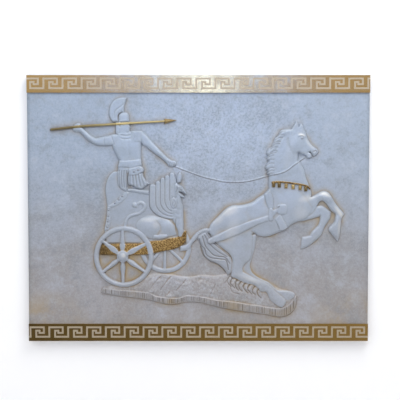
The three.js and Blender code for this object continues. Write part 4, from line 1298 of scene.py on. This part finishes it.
# ---------------------------------------------------------------------------------------
# Settings, operators and panel

class ReliefSettings(bpy.types.PropertyGroup):
    pearl: bpy.props.FloatVectorProperty(
        name="Pearl paint", description="Colour of the paint on the upper ground",
        subtype="COLOR", size=3, min=0, max=1, default=rgb(158, 173, 192)[:3])
    dusk: bpy.props.FloatVectorProperty(
        name="Lower paint", description="Colour of the paint on the lower ground",
        subtype="COLOR", size=3, min=0, max=1, default=rgb(165, 162, 164)[:3])
    # How much brown wash the hollows hold: patina, and painted shade at the forms' feet
    patina_and_shade: bpy.props.FloatProperty(
        name="Patina", description="How much brown wash the hollows hold",
        min=0, max=2, default=1.0, subtype="FACTOR")


class BandSettings(bpy.types.PropertyGroup):
    gold: bpy.props.FloatVectorProperty(
        name="Gilt", description="Colour of the polished strip",
        subtype="COLOR", size=3, min=0, max=1, default=rgb(216, 188, 134)[:3])
    key: bpy.props.FloatVectorProperty(
        name="Key line", description="Colour of the matt key line",
        subtype="COLOR", size=3, min=0, max=1, default=rgb(204, 191, 170)[:3])


class StageSettings(bpy.types.PropertyGroup):
    overhead_power: bpy.props.FloatProperty(
        name="Overhead light", description="Power of the big soft light overhead",
        min=0, default=21, unit="POWER")
    broad_power: bpy.props.FloatProperty(
        name="Broad light", description="Power of the broad cool light above the camera",
        min=0, default=28, unit="POWER")
    window_power: bpy.props.FloatProperty(
        name="Window light", description="Power of the strip that the top band mirrors",
        min=0, default=3.6, unit="POWER")
    distance: bpy.props.FloatProperty(
        name="Camera distance", description="From the camera to the panel",
        min=1, default=2.6, unit="LENGTH")


class RELIEF_OT_panel(bpy.types.Operator):
    """Builds the cast panel with its relief"""
    bl_idname = "relief.panel"
    bl_label = "Cast panel"

    def execute(self, context):
        made = relief_mesh("cast_relief", relief_sheet(), PANEL_LOW, PANEL_HIGH,
                           PANEL_HIGH.y - SLAB_THICKNESS)
        made.data.materials.append(pearl_paint(context.scene.relief_panel,
                                               cast_grain_group(), patina_and_shade_group()))
        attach(made, "root")
        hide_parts("relief_panel")
        return {"FINISHED"}


class RELIEF_OT_bands(bpy.types.Operator):
    """Finishes the two key bands"""
    bl_idname = "relief.bands"
    bl_label = "Key bands"

    def execute(self, context):
        groups = bpy.data.node_groups
        material = gilded_metal(context.scene.relief_bands, groups["Cast grain"],
                                groups["Patina and shade wash"])
        for name in ("key_band_top", "key_band_bottom"):
            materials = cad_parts[name].data.materials
            materials.clear()
            materials.append(material)
        return {"FINISHED"}


def look_from(made, place, aim):
    """Puts an object at a place, turned to the aim, and links it."""
    made.location = place
    made.rotation_euler = (Vector(aim) - Vector(place)).to_track_quat("-Z", "Y").to_euler()
    bpy.context.scene.collection.objects.link(made)
    return made


def soft_light(name, place, aim, size, power, colour):
    data = bpy.data.lights.new(name, "AREA")
    data.shape = "RECTANGLE"
    data.size, data.size_y = size
    data.energy = power
    data.color = colour
    return look_from(bpy.data.objects.new(name, data), place, aim)


def flat_card(name, corners, faces, material):
    mesh = bpy.data.meshes.new(name)
    mesh.from_pydata(corners, [], faces)
    mesh.materials.append(material)
    made = bpy.data.objects.new(name, mesh)
    bpy.context.scene.collection.objects.link(made)
    return made


# The stage in metres, the lens in millimetres, the shifts as shares of the picture
WALL_GAP = 0.5 * MM
FLOOR_Z, FLOOR_FRONT = -0.64, -4
STAGE_HALF, WALL_TOP = 4.0, 3
PANE_SHARE = 0.2
CAMERA_LENS, CAMERA_TILT = 79.93, math.radians(2.96)
CAMERA_SHIFT = (0.0041, 0.0226)
CAMERA_AIM = Vector((0, -0.03, 0))


def upright(x, y, low, high):
    """Corners of an upright rectangle that reaches x to each side of the middle."""
    return [(-x, y, low), (x, y, low), (x, y, high), (-x, y, high)]


class RELIEF_OT_stage(bpy.types.Operator):
    """Sets the wall, the floor, the lights and the camera"""
    bl_idname = "relief.stage"
    bl_label = "Stage"

    def execute(self, context):
        scene = context.scene
        settings = scene.relief_stage
        back, half = PANEL_HIGH.y + WALL_GAP, STAGE_HALF
        # The wall is open behind the panel, so that the panel's back is lit as well
        wall = flat_card("stage_wall", upright(half, back, FLOOR_Z, WALL_TOP)
                         + upright(PANEL_HIGH.x, back, -PANEL_HIGH.z, PANEL_HIGH.z),
                         [(0, 1, 5, 4), (1, 2, 6, 5), (2, 3, 7, 6), (3, 0, 4, 7)], wall_card())
        floor = flat_card("stage_floor", [
            (-half, FLOOR_FRONT, FLOOR_Z), (half, FLOOR_FRONT, FLOOR_Z),
            (half, back, FLOOR_Z), (-half, back, FLOOR_Z)], [(0, 1, 2, 3)], floor_card())
        lights = [
            soft_light("overhead", (0.6, -1.2, 1.75), (-0.1, 0, 0), (1.2, 1.2),
                       settings.overhead_power, (1.0, 0.98, 0.94)),
            soft_light("broad", (-1.2, -3.0, 2.0), (-0.2, 0, 0.1), (2.4, 1.2),
                       settings.broad_power, (0.94, 0.97, 1.0)),
            soft_light("window", (0, -2.9, 0.68), (0, 0, 0.36), (1.2, 0.26),
                       settings.window_power, (0.05, 0.22, 0.92)),
            soft_light("window_pane", (0.02, -2.88, 0.62), (0, 0, 0.35), (0.36, 0.1),
                       settings.window_power * PANE_SHARE, (0.5, 0.66, 0.9)),
        ]
        scene.world = pale_room()
        scene.view_settings.view_transform = "Standard"
        data = bpy.data.cameras.new("camera")
        data.lens, data.sensor_width = CAMERA_LENS, 36
        data.shift_x, data.shift_y = CAMERA_SHIFT
        away = Vector((0, -math.cos(CAMERA_TILT), math.sin(CAMERA_TILT)))
        scene.camera = look_from(bpy.data.objects.new("camera", data),
                                 CAMERA_AIM + away * settings.distance, CAMERA_AIM)
        return {"FINISHED"}


GROUPS = {"relief_panel": (ReliefSettings, "relief.panel"),
          "relief_bands": (BandSettings, "relief.bands"),
          "relief_stage": (StageSettings, "relief.stage")}


class RELIEF_PT_sidebar(bpy.types.Panel):
    bl_idname = "RELIEF_PT_sidebar"
    bl_label = "Wall relief"
    bl_space_type = "VIEW_3D"
    bl_region_type = "UI"
    bl_category = "Wall relief"

    def draw(self, context):
        for name, (_, operator) in GROUPS.items():
            box = self.layout.box()
            settings = getattr(context.scene, name)
            for setting in settings.__annotations__:
                box.prop(settings, setting)
            box.operator(operator)


CLASSES = (ReliefSettings, BandSettings, StageSettings, RELIEF_OT_panel, RELIEF_OT_bands,
           RELIEF_OT_stage, RELIEF_PT_sidebar)


def register():
    for item in CLASSES:
        bpy.utils.register_class(item)
    for name, (kind, _) in GROUPS.items():
        setattr(bpy.types.Scene, name, bpy.props.PointerProperty(type=kind))


def unregister():
    for name in GROUPS:
        delattr(bpy.types.Scene, name)
    for item in reversed(CLASSES):
        bpy.utils.unregister_class(item)


def main():
    register()
    bpy.ops.relief.panel()
    bpy.ops.relief.bands()
    bpy.ops.relief.stage()


if __name__ == "__main__":
    main()
